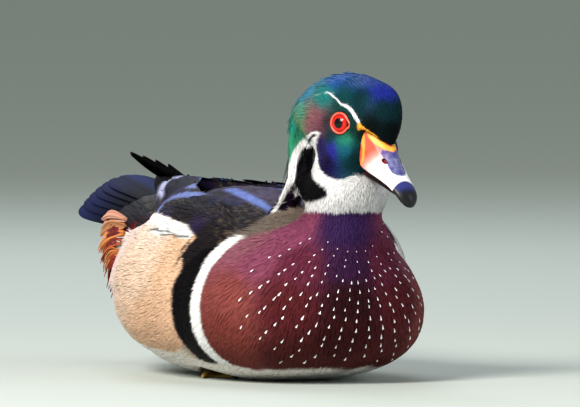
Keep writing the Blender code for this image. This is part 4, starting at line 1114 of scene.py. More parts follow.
def vanes(name, slot, paths, outs, half_widths, shape, columns, colours, gloss, keel=0.3, camber=0.06):
    """A piece of large feathers. colours(marks, points) gives the colour of each point of each feather."""
    paths, outs, half_widths = np.array(paths), np.array(outs), np.broadcast_to(half_widths, len(paths))
    ways = unit(np.gradient(paths, axis=1))
    outs = unit(outs - ways * (outs * ways).sum(axis=2, keepdims=True))
    points, looks, marks = feather_points(paths, outs, ways, half_widths, shape, columns, keel, camber)
    lengths = np.linalg.norm(np.diff(paths, axis=1), axis=2).sum(axis=1)
    middles, side = atlas(len(paths))
    shine = np.full(points.shape[:2], gloss)
    large[name] = feather_object(
        name, points, looks, colours(marks, points), shine, columns, len(shape[0]), marks, middles, side,
        (lengths, half_widths),
    )
    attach(large[name], "root")
    print(name, len(paths), "feathers,", len(paths) * (2 * points.shape[1] - 4), "triangles")
    return large[name]


def marked(points, part, colours_of=body_colours):
    """The markings at feathers' points, as if they were on one of the solids."""
    flat = points.reshape(-1, 3)
    return colours_of(flat, np.full(len(flat), PART_NAMES.index(part))).reshape(points.shape)


# %% [markdown]
# ### Back
# Broad scapulars lie over the back between the wings. They are walked over the body like the small feathers.

# %% Scapulars
SCAPULAR_SHAPE = vane_shape(8, 0.55)
SCAPULAR_ALONG = np.arange(62.0, -96.0, -8.0)
SCAPULAR_ACROSS = np.arange(-36.0, 37.0, 6.0)
# Length and half width at three places along the back
SCAPULAR_AT = (-90.0, 0.0, 60.0)
SCAPULAR_LENGTHS = (30.0, 24.0, 14.0)
SCAPULAR_HALF_WIDTHS = (6.0, 5.0, 3.4)
ABOVE_BACK = 110.0
# A feather that would cross the fold between back and wing is left out: how even and how level it has to lie
EVEN_ENOUGH = 0.93
LEVEL_ENOUGH = 0.5
roots, ways, lengths, widths = [], [], [], []
for row, along in enumerate(SCAPULAR_ALONG):
    for across in SCAPULAR_ACROSS + 3.0 * (row % 2):
        roots.append((along + draws.normal(0, 1.0), across + draws.normal(0, 0.6), ABOVE_BACK))
        ways.append((-1.0, 0.03 * np.sign(across), 0.0))
        lengths.append(np.interp(along, SCAPULAR_AT, SCAPULAR_LENGTHS) * draws.uniform(0.9, 1.1))
        widths.append(np.interp(along, SCAPULAR_AT, SCAPULAR_HALF_WIDTHS))
roots = np.array([skin_tree.ray_cast(Vector(root), Vector((0, 0, -1)))[0] for root in roots])
paths, outs, _ = walked(roots, np.array(ways), np.array(lengths), SCAPULAR_SHAPE[0])
steady = (outs[:, 1:] * outs[:, :-1]).sum(axis=2).min(axis=1) > EVEN_ENOUGH
steady &= outs[:, :, 2].min(axis=1) > LEVEL_ENOUGH
paths, outs, widths = paths[steady], outs[steady], np.array(widths)[steady]
paths = paths + outs * (-0.8 + 1.0 * SCAPULAR_SHAPE[0])[None, :, None]


def back_colours(marks, points):
    """The back's own markings, with a paler fringe round each feather."""
    edge = smooth_step(0.7, 1.0, np.abs(marks[:, 1])) * 0.06 + smooth_step(0.8, 1.0, marks[:, 0]) * 0.06
    return toned(painted(marked(points, "torso"), (edge, 0x5A5A88)), 0.10)


vanes("scapulars", "bronze_black_feather", paths, outs, widths, SCAPULAR_SHAPE, 5, back_colours, 0.2)

# %% [markdown]
# ### Wing coverts
# The folded wing is a long shield on the bird's side. Its surface is given by the same stations as in the
# solids: where it is along the body, how broad, and how far it leans. The coverts are small at the shoulder
# and get longer and broader towards the wing's tip.

# %% Wing coverts
# Each station: along, out, up, half breadth, lean, and radius of the bend across
WING = (
    (72.0, 43.0, 66.5, 7.0, 62.0, 42.0), (52.0, 53.0, 72.0, 18.0, 56.0, 42.0),
    (20.0, 55.5, 79.0, 26.0, 50.0, 42.0), (-20.0, 50.5, 84.5, 26.0, 46.0, 42.0),
    (-60.0, 30.0, 89.0, 17.0, 42.0, 40.0), (-92.0, 14.5, 93.0, 11.0, 34.0, 38.0),
    (-118.0, 9.5, 95.0, 7.0, 26.0, 38.0), (-132.0, 7.0, 97.0, 5.0, 20.0, 38.0),
)
WING_STARTS = [-station[0] for station in WING]
COVERT_AT = (-100.0, -60.0, COVERTS_FROM)
COVERT_LENGTHS = (34.0, 32.0, 24.0)
COVERT_HALF_WIDTHS = (4.6, 5.0, 4.6)
COVERT_SHAPE = vane_shape(8, 0.6, 0.6)
# Spacing: a row starts this share of a feather behind the last, and feathers in it this many half widths apart
COVERT_ROW_STEP = 0.36
COVERT_GAP = 1.1


def wing_share(along):
    """Share of the way along the wing's stations at places along the body."""
    return np.interp(-np.asarray(along, float), WING_STARTS, np.linspace(0, 1, len(WING)))


def wing_place(shares, across, lifts):
    """Places on the left wing and the way out of it there."""
    along, out, up, half_breadth, lean, bend = curve(WING, shares).T
    lean = np.radians(lean)
    zero = np.zeros_like(lean)
    face = np.stack([zero, np.sin(lean), np.cos(lean)], axis=1)
    rise = np.stack([zero, -np.cos(lean), np.sin(lean)], axis=1)
    angle = across * half_breadth / bend
    at = np.stack([along, out, up], axis=1)
    at += rise * (bend * np.sin(angle))[:, None] + face * (bend * (np.cos(angle) - 1))[:, None]
    normal = face * np.cos(angle)[:, None] + rise * np.sin(angle)[:, None]
    return at + normal * lifts[:, None], normal


def covert_paths(side):
    """Paths, ways out and half widths of all coverts of one wing."""
    shares = COVERT_SHAPE[0]
    paths, outs, widths = [], [], []
    root, row = COVERT_AT[-1], 0
    while root > COVERT_AT[0]:
        length = np.interp(root, COVERT_AT, COVERT_LENGTHS)
        half_width = np.interp(root, COVERT_AT, COVERT_HALF_WIDTHS)
        half_breadth = curve(WING, wing_share([root - 0.6 * length]))[0, 3]
        count = max(3, int(2 * half_breadth / (COVERT_GAP * half_width)))
        for index in range(count):
            across = -0.97 + 1.77 * (index + 0.5 * (row % 2)) / (count - 0.5)
            along = root + draws.normal(0, 0.06) * length - shares * length * draws.uniform(0.92, 1.08)
            sway = across + draws.normal(0, 0.012) * (1 + shares)
            lifts = -0.5 + 1.1 * shares ** 0.8 + draws.uniform(-0.1, 0.1)
            at, out = wing_place(wing_share(along), sway, lifts)
            if outline_mask(at[2:5, (0, 2)], FLANK).max() > 0.5:
                continue
            paths.append(mirrored(at, side))
            outs.append(mirrored(out, side))
            widths.append(half_width * draws.uniform(0.92, 1.08))
        root -= COVERT_ROW_STEP * length
        row += 1
    return paths, outs, widths


def covert_colours(marks, points):
    """The wing's own markings, with a faint fringe on each feather."""
    edge = smooth_step(0.75, 1.0, np.abs(marks[:, 1])) * 0.10
    return toned(painted(marked(points, "wing_left"), (edge, 0x4A5290)), 0.12)


for side_name, side in SIDES.items():
    piece = vanes("coverts_" + side_name, "bronze_black_feather", *covert_paths(side), COVERT_SHAPE, 5,
                  covert_colours, 0.2)
    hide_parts("wing_" + side_name)

# %% [markdown]
# ### Flight feathers
# The tips of the wings cross over the rump. On the real bird these are the primaries, narrow, stiff and black,
# with a silvery outer edge. They are free of the body, so their paths are plain lines that sag a little.

# %% Primaries
PRIMARY_ROOT = np.array((-110.0, 11.0, 92.0))
PRIMARY_TIPS = {"left": (-182.0, -9.0, 108.0), "right": (-170.0, -3.0, 99.5)}
PRIMARY_STEP = np.array((14.0, 2.0, -1.5))
PRIMARY_COUNT = 4
PRIMARY_HALF_WIDTH = 6.8
PRIMARY_FACE = np.array((0.0, 0.75, 0.66))
PRIMARY_SAG = 3.0
PRIMARY_SHAPE = vane_shape(12, 0.7, 0.6)


def primary_colours(marks, points):
    """Black, with a silvery outer edge."""
    outer = smooth_step(0.45, 1.0, marks[:, 1]) * 0.4
    return painted(np.broadcast_to(linear(0x121016), points.shape), (outer, 0x6A7088))


for side_name, side in SIDES.items():
    shares = PRIMARY_SHAPE[0][:, None]
    paths, outs = [], []
    for index in range(PRIMARY_COUNT):
        step = PRIMARY_STEP * index
        tip = np.array(PRIMARY_TIPS[side_name]) + step
        at = (PRIMARY_ROOT + step * (0, 1, 1)) * (1 - shares) + tip * shares
        at[:, 2] -= PRIMARY_SAG * np.sin(math.pi * shares[:, 0])
        paths.append(mirrored(at, side))
        outs.append(mirrored(np.broadcast_to(PRIMARY_FACE, at.shape), side))
    vanes("primaries_" + side_name, "bronze_black_feather", paths, outs, PRIMARY_HALF_WIDTH, PRIMARY_SHAPE, 5,
          primary_colours, 0.3, keel=0.8)

# %% [markdown]
# ### Tail
# Twelve long feathers, the middle pair on top and each next pair a little lower and shorter, with rows of
# coverts over and under their roots. They are black, and glossed with blue where they catch the light.

# %% Tail feathers and their coverts
# At its root and at its tip: along, up, half width, how far the sides hang, and how far it is turned
TAIL_ROOT = np.array((-128.0, 79.0, 15.0, 12.0, 1.0))
TAIL_TIP = np.array((-228.0, 93.0, 25.0, 7.5, 7.0))
TAIL_FEATHERS = 12
TAIL_FEATHER_HALF_WIDTH = 7.4
TAIL_GRADUATION = 0.06
TAIL_SHAPE = vane_shape(14, 0.82)
# Each row: share of the tail where its roots and its tips are, number of feathers, half width
TAIL_COVERT_ROWS = ((0.02, 0.46, 9, 6.2), (-0.10, 0.32, 9, 6.0), (-0.22, 0.18, 9, 5.6), (-0.34, 0.06, 9, 5.2))


def tail_place(shares, across, lifts):
    """Places on the arched upper face of the tail, and the way out of it."""
    along, up, half, drop, turn = TAIL_ROOT[:, None] + shares * (TAIL_TIP - TAIL_ROOT)[:, None]
    slope = (2 * drop * across - turn) / half
    normal = unit(np.stack([np.full_like(slope, 0.15), slope, np.ones_like(slope)], axis=1))
    at = np.stack([along, half * across, up + turn * across - drop * across * across], axis=1)
    return at + normal * lifts[:, None], normal


def tail_colours(marks, points):
    """Blue-black, with a painted blue sheen at the ends and on the outer edges, and a dark shaft."""
    outward = marks[:, 1][None] * -np.sign(points[:, :1, 1])
    shaft = 1 - smooth_step(0.0, 0.12, np.abs(marks[:, 1]))
    colour = painted(
        np.broadcast_to(linear(0x080914), points.shape),
        (smooth_step(0.2, 1.0, outward) * 0.4, 0x2C3A86),
        (smooth_step(0.55, 1.0, marks[:, 0]) * 0.35, 0x2A3470),
        (shaft * 0.6, 0x0A080E),
    )
    return toned(colour, 0.08)


def tail_covert_colours(marks, points):
    """Greenish black with a grey-brown bloom at the ends."""
    bloom = smooth_step(0.4, 1.0, marks[:, 0]) * 0.25
    return toned(painted(np.broadcast_to(linear(0x0F0E14), points.shape), (bloom, 0x6E6A68)), 0.10)


shares = TAIL_SHAPE[0]
paths, outs = [], []
for index in range(TAIL_FEATHERS):
    across = 2 * (index + 0.5) / TAIL_FEATHERS - 1
    reach = 1.0 - TAIL_GRADUATION * across ** 2
    along = 0.02 + (reach - 0.02) * shares
    at, out = tail_place(along, across * (0.9 + 0.1 * shares), (1.4 - 2.2 * abs(across)) * shares)
    paths.append(at)
    outs.append(out + (0.0, math.copysign(0.08, -across), 0.0))
order = np.argsort([-abs(path[0, 1]) for path in paths])
tail = vanes("tail_feathers", "bronze_black_feather", np.array(paths)[order], np.array(outs)[order],
             TAIL_FEATHER_HALF_WIDTH, TAIL_SHAPE, 7, tail_colours, 0.1, camber=0.03)
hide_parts("tail")

paths, outs, widths = [], [], []
for above in (True, False):
    for number, (root, tip, count, half_width) in enumerate(TAIL_COVERT_ROWS):
        for across in np.linspace(-0.9, 0.9, count):
            along = root + (tip - root) * COVERT_SHAPE[0] * draws.uniform(0.92, 1.05)
            lifts = 0.5 * number + 0.6 + 1.0 * COVERT_SHAPE[0] if above else -1.6 - 0.5 * number - COVERT_SHAPE[0]
            at, out = tail_place(along, across * (0.92 + 0.05 * COVERT_SHAPE[0]), lifts)
            paths.append(at)
            outs.append(out if above else -out)
            widths.append(half_width)
vanes("tail_coverts", "bronze_black_feather", paths, outs, widths, COVERT_SHAPE, 5, tail_covert_colours, 0.3)

# %% [markdown]
# ### Plumes of the rump
# Behind the flank hangs a dark red patch of loose feathers, and long orange ones arch out over it. Their barbs
# don't hook together, so each plume is a bundle of fine strands.

# %% Plumes
# Each one: root along and up, tip along and up, how far it arches, colour
PLUMES = (
    (-92.0, 77.0, -139.0, 74.0, 2.0, 0xE8A890), (-94.0, 74.0, -144.0, 66.0, 3.0, 0xE09868),
    (-94.0, 70.0, -147.0, 56.5, 4.0, 0xE88A4A), (-97.0, 65.0, -142.0, 51.5, 4.0, 0xC86038),
    (-99.0, 60.0, -136.0, 46.0, 5.0, 0xE08448), (-102.0, 56.0, -130.0, 43.0, 4.0, 0x9A3A2C),
)
STRANDS = 26
# How far out the orange strands and the red patch start
PLUME_OUT = 43.5
RED_OUT = 42.6
# The red patch: number of strands, where they start along and up, its middle height, and its two reds
RED_STRANDS = 240
RED_ALONG = (-114.0, -86.0)
RED_UP = (48.0, 76.0)
RED_MIDDLE = 62.0
RED, DARK_RED = 0x8A2A28, 0x6E1C24
STRAND_SHAPE = vane_shape(10, 0.5, 0.6)
for side_name, side in SIDES.items():
    shares = STRAND_SHAPE[0]
    paths, widths, tints = [], [], []
    for along, up, tip_along, tip_up, arch, tint in PLUMES:
        for _ in range(STRANDS):
            spread = draws.normal(0, 1.0, 2)
            run = shares * draws.uniform(0.75, 1.0)
            bow = np.sin(math.pi * run)
            x = along + (tip_along - along) * run
            y = PLUME_OUT - 4.0 * run + 1.6 * bow + spread[1] * 0.5
            z = up + (tip_up - up) * run + arch * bow + spread[0] * 1.3 * (0.5 + 0.8 * bow)
            paths.append(mirrored(np.stack([x, y, z], axis=1), side))
            widths.append(draws.uniform(0.45, 0.7))
            tints.append(tint)
    for _ in range(RED_STRANDS):
        start = draws.uniform(*RED_ALONG)
        high = draws.uniform(*RED_UP)
        run = shares * draws.uniform(0.6, 1.0)
        round_off = 0.02 * (high - RED_MIDDLE) ** 2 * (1 - 0.5 * run)
        x = start - 22.0 * run
        y = RED_OUT - 3.5 * run + draws.uniform(-0.6, 0.5) - round_off
        z = high - 10.0 * run - 6.0 * run ** 2
        paths.append(mirrored(np.stack([x, y, z], axis=1), side))
        widths.append(draws.uniform(0.6, 0.9))
        tints.append(RED if draws.random() < 0.75 else DARK_RED)
    colour_of = np.array([linear(tint) for tint in tints])

    def plume_colours(marks, points, own=colour_of):
        """Each strand's own colour, darker at the root."""
        share = (0.7 + 0.35 * marks[:, 0])[None, :, None]
        return toned(own[:, None, :] * share, 0.12)

    outs = np.broadcast_to(np.array((0.0, side, 0.15)), np.array(paths).shape)
    piece = vanes("plume_strands_" + side_name, "orange_plume", paths, outs, widths, STRAND_SHAPE, 2,
                  plume_colours, 0.1, keel=KEEL)
    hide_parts("plume_" + side_name)

# %% [markdown]
# ### Strands of the crest
# The crest is long and silky. Its loose outer strands break the smooth edge of the nape.

# %% Crest strands
CREST_STRANDS = 900
CREST_STRAND_SHAPE = vane_shape(7, 0.4, 0.6)
faces = np.flatnonzero(is_part(skin_parts, "mane"))
chance = skin_areas[faces] / skin_areas[faces].sum()
roots = skin_centres[draws.choice(faces, CREST_STRANDS, p=chance)] + draws.normal(0, 0.6, (CREST_STRANDS, 3))
lengths = draws.uniform(12.0, 24.0, CREST_STRANDS)
ways = unit(mane_lie(roots) + draws.normal(0, 0.05, roots.shape))
paths, outs, _ = walked(roots, ways, lengths, CREST_STRAND_SHAPE[0])
loose = draws.uniform(0.0, 1.0, CREST_STRANDS) ** 3 * 2.2
strand_widths = draws.uniform(0.22, 0.36, CREST_STRANDS)
on_crest = is_part(parts_at(paths[:, -1]), "mane")
paths, outs, loose, strand_widths = paths[on_crest], outs[on_crest], loose[on_crest], strand_widths[on_crest]
paths = paths + outs * (-0.3 + loose[:, None] * CREST_STRAND_SHAPE[0] ** 1.5)[:, :, None]


def strand_colours(marks, points):
    """Each strand takes the head's colours on its way."""
    return toned(marked(points, "mane", plumage), 0.12)


vanes("crest_strands", "green_feather", paths, outs, strand_widths, CREST_STRAND_SHAPE, 2, strand_colours, 0.6,
      keel=0.2)

# %% [markdown]
# ### White flecks of the breast
# Each flecked feather ends in a white wedge. Seen from the front the wedges stand in rows that fan out from
# the base of the neck, tiny at the top and longer lower down.

# %% Breast flecks
# From the front, across and up: where the rows fan out from
FLECK_HUB = (5.0, 88.0)
FLECK_ANGLE = math.radians(7.2)
FLECK_RAYS = 21
FLECK_ROWS = 13
# How far from the hub a ray starts, and how far apart its flecks are. Every second ray starts later.
FLECK_FIRST, FLECK_STEP, FLECK_LATE = 19.5, 4.9, 12.0
# Flecks stay in front of this place on the middle ray, this much further forward on the outer ones, and above
# this height
FLECK_BEHIND, FLECK_OUTER, FLECK_LOWEST = 82.0, 16.0, 12.0
FLECK_SHAPE = ((0.0, 0.45, 0.8, 1.0), (0.1, 0.55, 1.0, 0.0))
starts, ways, sizes = [], [], []
for ray in range(FLECK_RAYS):
    angle = FLECK_ANGLE * (ray - (FLECK_RAYS - 1) / 2)
    outer = abs(angle) / (FLECK_ANGLE * FLECK_RAYS / 2)
    for row in range(FLECK_ROWS):
        reach = FLECK_FIRST + FLECK_STEP * (row + 0.5 * (ray % 2)) + FLECK_LATE * (ray % 2) + draws.normal(0, 0.6)
        turn = angle + draws.normal(0, 0.012)
        across, up = FLECK_HUB[0] + reach * math.sin(turn), FLECK_HUB[1] - reach * math.cos(turn)
        hit = skin_tree.ray_cast(Vector((200.0, across, up)), Vector((-1, 0, 0)))
        if hit[0] is None or hit[0].x < FLECK_BEHIND + FLECK_OUTER * outer or up < FLECK_LOWEST:
            continue
        if draws.random() < 0.5 * outer ** 2:
            continue
        growth = min((reach - 10.0) / 45.0, 1.0)
        starts.append(hit[0])
        ways.append((-0.1, math.sin(turn), -math.cos(turn)))
        sizes.append((0.45 + 2.1 * growth, 0.13 + 0.42 * growth))
starts, ways, sizes = np.array(starts), np.array(ways), np.array(sizes)
sizes *= draws.uniform(0.7, 1.2, sizes.shape)
paths, outs, _ = walked(starts, ways, sizes[:, 0], np.array(FLECK_SHAPE[0]))
paths = paths + outs * np.array((-0.1, 0.12, 0.2, 0.15))[None, :, None]
vanes("breast_flecks", "white_feather", paths, outs, sizes[:, 1], FLECK_SHAPE, 3,
      lambda marks, points: np.broadcast_to(linear(0xF8F4F6), points.shape), 0.0, keel=0.4)

# %% [markdown]
# ## Bill
# The bill is horn over bone: red at the base with a yellow edge, white at the sides, slate along the ridge and
# black on the nail at its tip. Its shape is right in the solid, but faceted, so a copy is made into fine voxels
# and smoothed, and the colours are painted on the fine mesh by place, as on the plumage. A blue painted highlight
# on the nail and a pale one in the nostril are laid on with them.

# %% Bill
BILL_VOXEL = 0.4
# The yellow band: from the corner of the brow along the forehead, and down the rear edge
BILL_BAND = ((9.8, 12.0, 7.0), (12.5, 10.6, 5.9), (16.2, 8.6, 4.6), (21.2, 5.4, 3.2), (25.0, 2.6, 2.7),
             (27.2, 0.0, 2.5))
BILL_BAND_WIDTHS = (2.6, 3.4, 3.0, 2.2, 1.6, 1.5)
BILL_REAR = ((11.0, 10.5, 4.0), (13.6, 9.6, 0.0), (17.2, 9.8, -3.6), (19.8, 10.0, -8.0), (20.4, 9.5, -14.6))
BILL_REAR_WIDTHS = (2.0, 1.2, 0.9, 0.8, 0.5)
# From above, along and out: the slate patch of the ridge
BILL_RIDGE = ((28.4, -0.5), (26.0, 3.4), (24.4, 4.7), (26.0, 5.6), (28.5, 5.3), (30.2, 4.4), (33.9, 4.9),
              (37.6, 4.4), (39.9, 2.6), (40.9, -0.5))
NAIL_STARTS = 43.6
NAIL_CURVE = 0.036
# The lower half closes up into the upper one by this share of its height, so only its edge is seen
LOWER_BILL_CLOSED = 0.5
EDGE_STEPS = 39
NOSTRIL_AT = np.array((29.4, 4.9, -2.9))


def smooth_copy(node_name, voxel, object_name):
    """A fine, smooth copy of a node, as an object that rides with the body in its place."""
    made = smooth_object(object_name, remeshed([merged_copy(node_name)], voxel, 3))
    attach(made, "root")
    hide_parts(node_name)
    print(object_name, len(made.data.vertices), "points")
    return made


def places_of(made):
    """An object's points in millimetres."""
    places = np.empty(len(made.data.vertices) * 3)
    made.data.vertices.foreach_get("co", places)
    return places.reshape(-1, 3) / MM


def edge_height(along, up, pick):
    """Height of the bill's edge over each point: its lowest or highest point in each short step along it."""
    starts = np.linspace(along.min(), along.max(), EDGE_STEPS + 1)
    edge = [pick(up[(along >= low) & (along <= low + starts[1] - starts[0])]) for low in starts[:-1]]
    return np.interp(along, starts[:-1], edge)


bill_upper = smooth_copy("bill_upper", BILL_VOXEL, "bill_upper_horn")
own = folded(moved(to_head, places_of(bill_upper)))
along, out, up = own.T
redness = along - 0.4 * (up + 3.6)
margin = 1 - smooth_step(0.5, 1.5, up - edge_height(along, up, np.min))
ridge = outline_mask(own[:, :2], BILL_RIDGE, 0.35) * (up > -7.0)
nail = smooth_step(-0.3, 0.3, along - NAIL_STARTS - NAIL_CURVE * out ** 2)
nostril = np.linalg.norm((own - NOSTRIL_AT) * (0.62, 1.0, 1.0), axis=1)
# A painted highlight: a small pale spot in the nostril
painted_nostril_highlight = np.linalg.norm(own - NOSTRIL_AT - (0.9, -0.3, 0.3), axis=1)
paint(bill_upper.data, painted(
    np.broadcast_to(linear(0xF6F0F2), own.shape),
    (1 - smooth_step(23.5, 31.0, redness), 0xF09A90),
    (1 - smooth_step(19.5, 27.0, redness), 0xE64A30),
    (margin * (along < 43.0), 0xE46A6C),
    (line_mask(own, BILL_REAR, BILL_REAR_WIDTHS), 0xF49A38),
    (line_mask(own, BILL_BAND, BILL_BAND_WIDTHS), YELLOW),
    (ridge * (0.9 + 0.1 * mottle(own, 1.6)), 0x30367E),
    (nail, 0x08070C),
    # Painted highlight: blue on the upper rear of the black nail
    (nail * (1 - smooth_step(46.0, 51.0, along)) * smooth_step(-9.5, -6.5, up), 0x2A3072),
    (1 - smooth_step(1.1, 1.6, nostril), 0x7A1612),
    (1 - smooth_step(0.4, 0.8, painted_nostril_highlight), 0xF0DCD8),
))

bill_lower = smooth_copy("bill_lower", BILL_VOXEL, "bill_lower_horn")
own = moved(to_head, places_of(bill_lower))
along, _, up = own.T
own[:, 2] += LOWER_BILL_CLOSED * (edge_height(along, up, np.max) - up)
put_points(bill_lower, moved(from_head, own))
throat_red = 1 - smooth_step(14.0, 26.0, along)
paint(bill_lower.data, painted(np.broadcast_to(linear(0x181214), own.shape), (throat_red, 0x6A2A24)))

# %% [markdown]
# ## Eyes
# A duck's eye is a glossy ball with a red iris round a black pupil, in a fleshy red ring that is drawn out to a
# corner in front. The iris is a pattern of rings about the line of sight: the distance from that line, in
# millimetres, goes through a colour ramp.

# %% Eyes and the rings round them
EYE_RADIUS = 6.1
EYE_SUNK = 4.3
PUPIL = 2.5
LID_RADIUS, LID_THICKNESS = 5.05, 0.62
LID_CORNER = math.radians(-28.0)
LID_CORNER_REACH = 1.5
LID_CORNER_SPREAD = 0.28
eyes, lids, eye_turns = {}, {}, {}


def eye_place(side):
    """A matrix from an eye's own frame, which looks along Z with X forward, to the body, in metres."""
    sight = Vector(mirrored(EYE_SIGHT, side)).normalized()
    forward = (Vector((1, 0, 0)) - sight * sight.x).normalized()
    turn = Matrix((forward, sight.cross(forward), sight)).transposed().to_4x4()
    ring_at = Vector(mirrored(EYE_RING_AT, side))
    return Matrix.Scale(MM, 4) @ head_frame @ Matrix.Translation(ring_at) @ turn


for side_name, side in SIDES.items():
    place = eye_place(side)
    eye_turns[side_name] = place @ Matrix.Translation((0, 0, -EYE_SUNK))
    ball = bmesh.new()
    bmesh.ops.create_uvsphere(ball, u_segments=48, v_segments=32, radius=EYE_RADIUS, matrix=eye_turns[side_name])
    eyes[side_name] = smooth_object("eyeball_" + side_name, ball)
    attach(eyes[side_name], "root")
    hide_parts("eye_" + side_name)

    ring = bmesh.new()
    upright = Matrix.Translation((LID_RADIUS, 0, 0)) @ Matrix.Rotation(math.radians(90), 4, "X")
    bmesh.ops.create_circle(ring, segments=12, radius=LID_THICKNESS, matrix=upright)
    bmesh.ops.spin(
        ring, geom=[*ring.verts, *ring.edges], cent=(0, 0, 0), axis=(0, 0, 1), angle=2 * math.pi, steps=56,
        use_merge=True,
    )
    for vert in ring.verts:
        angle = math.atan2(vert.co.y, vert.co.x) * side - LID_CORNER
        reach = 1 + LID_CORNER_REACH / LID_RADIUS * math.exp(-(angle / LID_CORNER_SPREAD) ** 2)
        vert.co.x *= reach
        vert.co.y *= reach
    bmesh.ops.transform(ring, matrix=place, verts=ring.verts)
    bmesh.ops.recalc_face_normals(ring, faces=ring.faces)
    lids[side_name] = smooth_object("lid_" + side_name, ring)
    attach(lids[side_name], "root")

# %% [markdown]
# ## Feet
# The webbed feet are tucked under the belly. Their skin is dull yellow with fine scales and dark claws.

# %% Feet
FOOT_VOXEL = 0.6
feet = {}
for side_name in SIDES:
    foot = smooth_copy("leg_" + side_name, FOOT_VOXEL, "foot_" + side_name)
    places = places_of(foot)
    scales = 0.2 + 0.2 * mottle(places, 4.0, 2.0)
    claws = smooth_step(24.0, 28.0, places[:, 0])
    skin_colour = np.broadcast_to(linear(0xC09A3C), places.shape)
    paint(foot.data, painted(skin_colour, (scales, 0x4A3A22), (claws, 0x14100E)))
    feet[side_name] = foot

# %% [markdown]
# ## Materials of the coat
# A feather is keratin. Its barbs scatter light softly, and in the dark feathers thin layers make the blues and
# greens that shine like metal. The colour comes from the markings, and fine noise stands for the barbs.

# %% One small function for nodes, and the coat's material
def set_node(tree, made, settings=None, links=None):
    """Sets a node's inputs or its own settings, and links the outputs that feed it."""
    for key, value in (settings or {}).items():
        if isinstance(key, int) or key in made.inputs:
            made.inputs[key].default_value = value
        else:
            setattr(made, key, value)
    for key, source in (links or {}).items():
        tree.links.new(source, made.inputs[key])
    return made


def node(tree, kind, settings=None, links=None):
    """Adds a node with its settings and links."""
    return set_node(tree, tree.nodes.new(kind), settings, links)


def new_material(name, settings):
    """A material, its tree of nodes, and its shader with these settings."""
    made = bpy.data.materials.new(name)
    made.use_nodes = True
    tree = made.node_tree
    return made, tree, set_node(tree, tree.nodes["Principled BSDF"], settings)


RELIEF_DEPTH = 0.2 * MM
BARB_RELIEF = 0.25


def feather_material(name, streak_mm, streak_depth, bump, barbs=None):
    """Keratin, with the colour from the markings and streaks a few tenths of a millimetre wide.

    A large vane also has barbs: slanted stripes either side of its shaft, so many millimetres apart."""
    made, tree, shader = new_material(name, {"Specular IOR Level": 0.05})
    tint = node(tree, "ShaderNodeAttribute", {"attribute_name": "plumage"})
    place = node(tree, "ShaderNodeTexCoord")
    streaks = node(tree, "ShaderNodeTexNoise", {"Scale": 1 / (streak_mm * MM), "Detail": 2.0, "Roughness": 0.6},
                   {"Vector": place.outputs["Object"]})
    height = streaks.outputs["Fac"]
    if barbs:
        vane = node(tree, "ShaderNodeUVMap", {"uv_map": "vane"})
        parts = node(tree, "ShaderNodeSeparateXYZ", {}, {"Vector": vane.outputs["UV"]})
        side = node(tree, "ShaderNodeMath", {"operation": "ABSOLUTE"}, {0: parts.outputs["X"]})
        slant = node(tree, "ShaderNodeMath", {"operation": "SUBTRACT"},
                     {0: parts.outputs["Y"], 1: side.outputs[0]})
        phase = node(tree, "ShaderNodeMath", {"operation": "MULTIPLY", 1: 2 * math.pi / barbs},
                     {0: slant.outputs[0]})
        stripe = node(tree, "ShaderNodeMath", {"operation": "SINE"}, {0: phase.outputs[0]})
        height = node(tree, "ShaderNodeMath", {"operation": "MULTIPLY_ADD", 1: BARB_RELIEF},
                      {0: stripe.outputs[0], 2: streaks.outputs["Fac"]}).outputs[0]
    spread = node(tree, "ShaderNodeMapRange",
                  {"From Min": 0.3, "From Max": 0.7, "To Min": 1 - streak_depth, "To Max": 1 + streak_depth},
                  {"Value": height})
    colour = node(tree, "ShaderNodeVectorMath", {"operation": "SCALE"},
                  {0: tint.outputs["Color"], "Scale": spread.outputs["Result"]})
    metal = node(tree, "ShaderNodeMapRange", {"To Min": 0.0, "To Max": 0.5}, {"Value": tint.outputs["Alpha"]})
    rough = node(tree, "ShaderNodeMapRange", {"To Min": 0.7, "To Max": 0.42}, {"Value": tint.outputs["Alpha"]})
    relief = node(tree, "ShaderNodeBump", {"Strength": bump, "Distance": RELIEF_DEPTH}, {"Height": height})
    set_node(tree, shader, links={
        "Base Color": colour.outputs["Vector"], "Metallic": metal.outputs["Result"],
        "Roughness": rough.outputs["Result"], "Normal": relief.outputs["Normal"],
    })
    return made


barb_keratin = feather_material("barb_keratin", 0.6, 0.12, 0.3)
for piece in [*coat.values(), skin]:
    piece.data.materials.append(barb_keratin)
vane_keratin = feather_material("vane_keratin", 0.9, 0.14, 0.4, 0.9)
for piece in large.values():
    piece.data.materials.append(vane_keratin)

# %% [markdown]
# The bill's horn and the feet's scales are harder and smoother than feathers, and the eye is wet.

# %% Horn, scales and eyes
def painted_material(name, roughness, bump_mm, bump_depth, coat_weight=0.0):
    """A surface that takes its colour from the markings, with a fine uneven relief."""
    made, tree, shader = new_material(name, {
        "Roughness": roughness, "Specular IOR Level": 0.25, "Coat Weight": coat_weight, "Coat Roughness": 0.2,
    })
    tint = node(tree, "ShaderNodeAttribute", {"attribute_name": "plumage"})
    place = node(tree, "ShaderNodeTexCoord")
    grain = node(tree, "ShaderNodeTexNoise", {"Scale": 1 / (bump_mm * MM), "Detail": 3.0},
                 {"Vector": place.outputs["Object"]})
    relief = node(tree, "ShaderNodeBump", {"Strength": bump_depth, "Distance": RELIEF_DEPTH},
                  {"Height": grain.outputs["Fac"]})
    set_node(tree, shader, links={"Base Color": tint.outputs["Color"], "Normal": relief.outputs["Normal"]})
    return made


bill_horn = painted_material("bill_horn_keratin", 0.45, 1.2, 0.12, 0.12)
foot_scales = painted_material("foot_scales", 0.5, 0.7, 0.5)
for piece in (bill_upper, bill_lower):
    piece.data.materials.append(bill_horn)
for piece in feet.values():
    piece.data.materials.append(foot_scales)

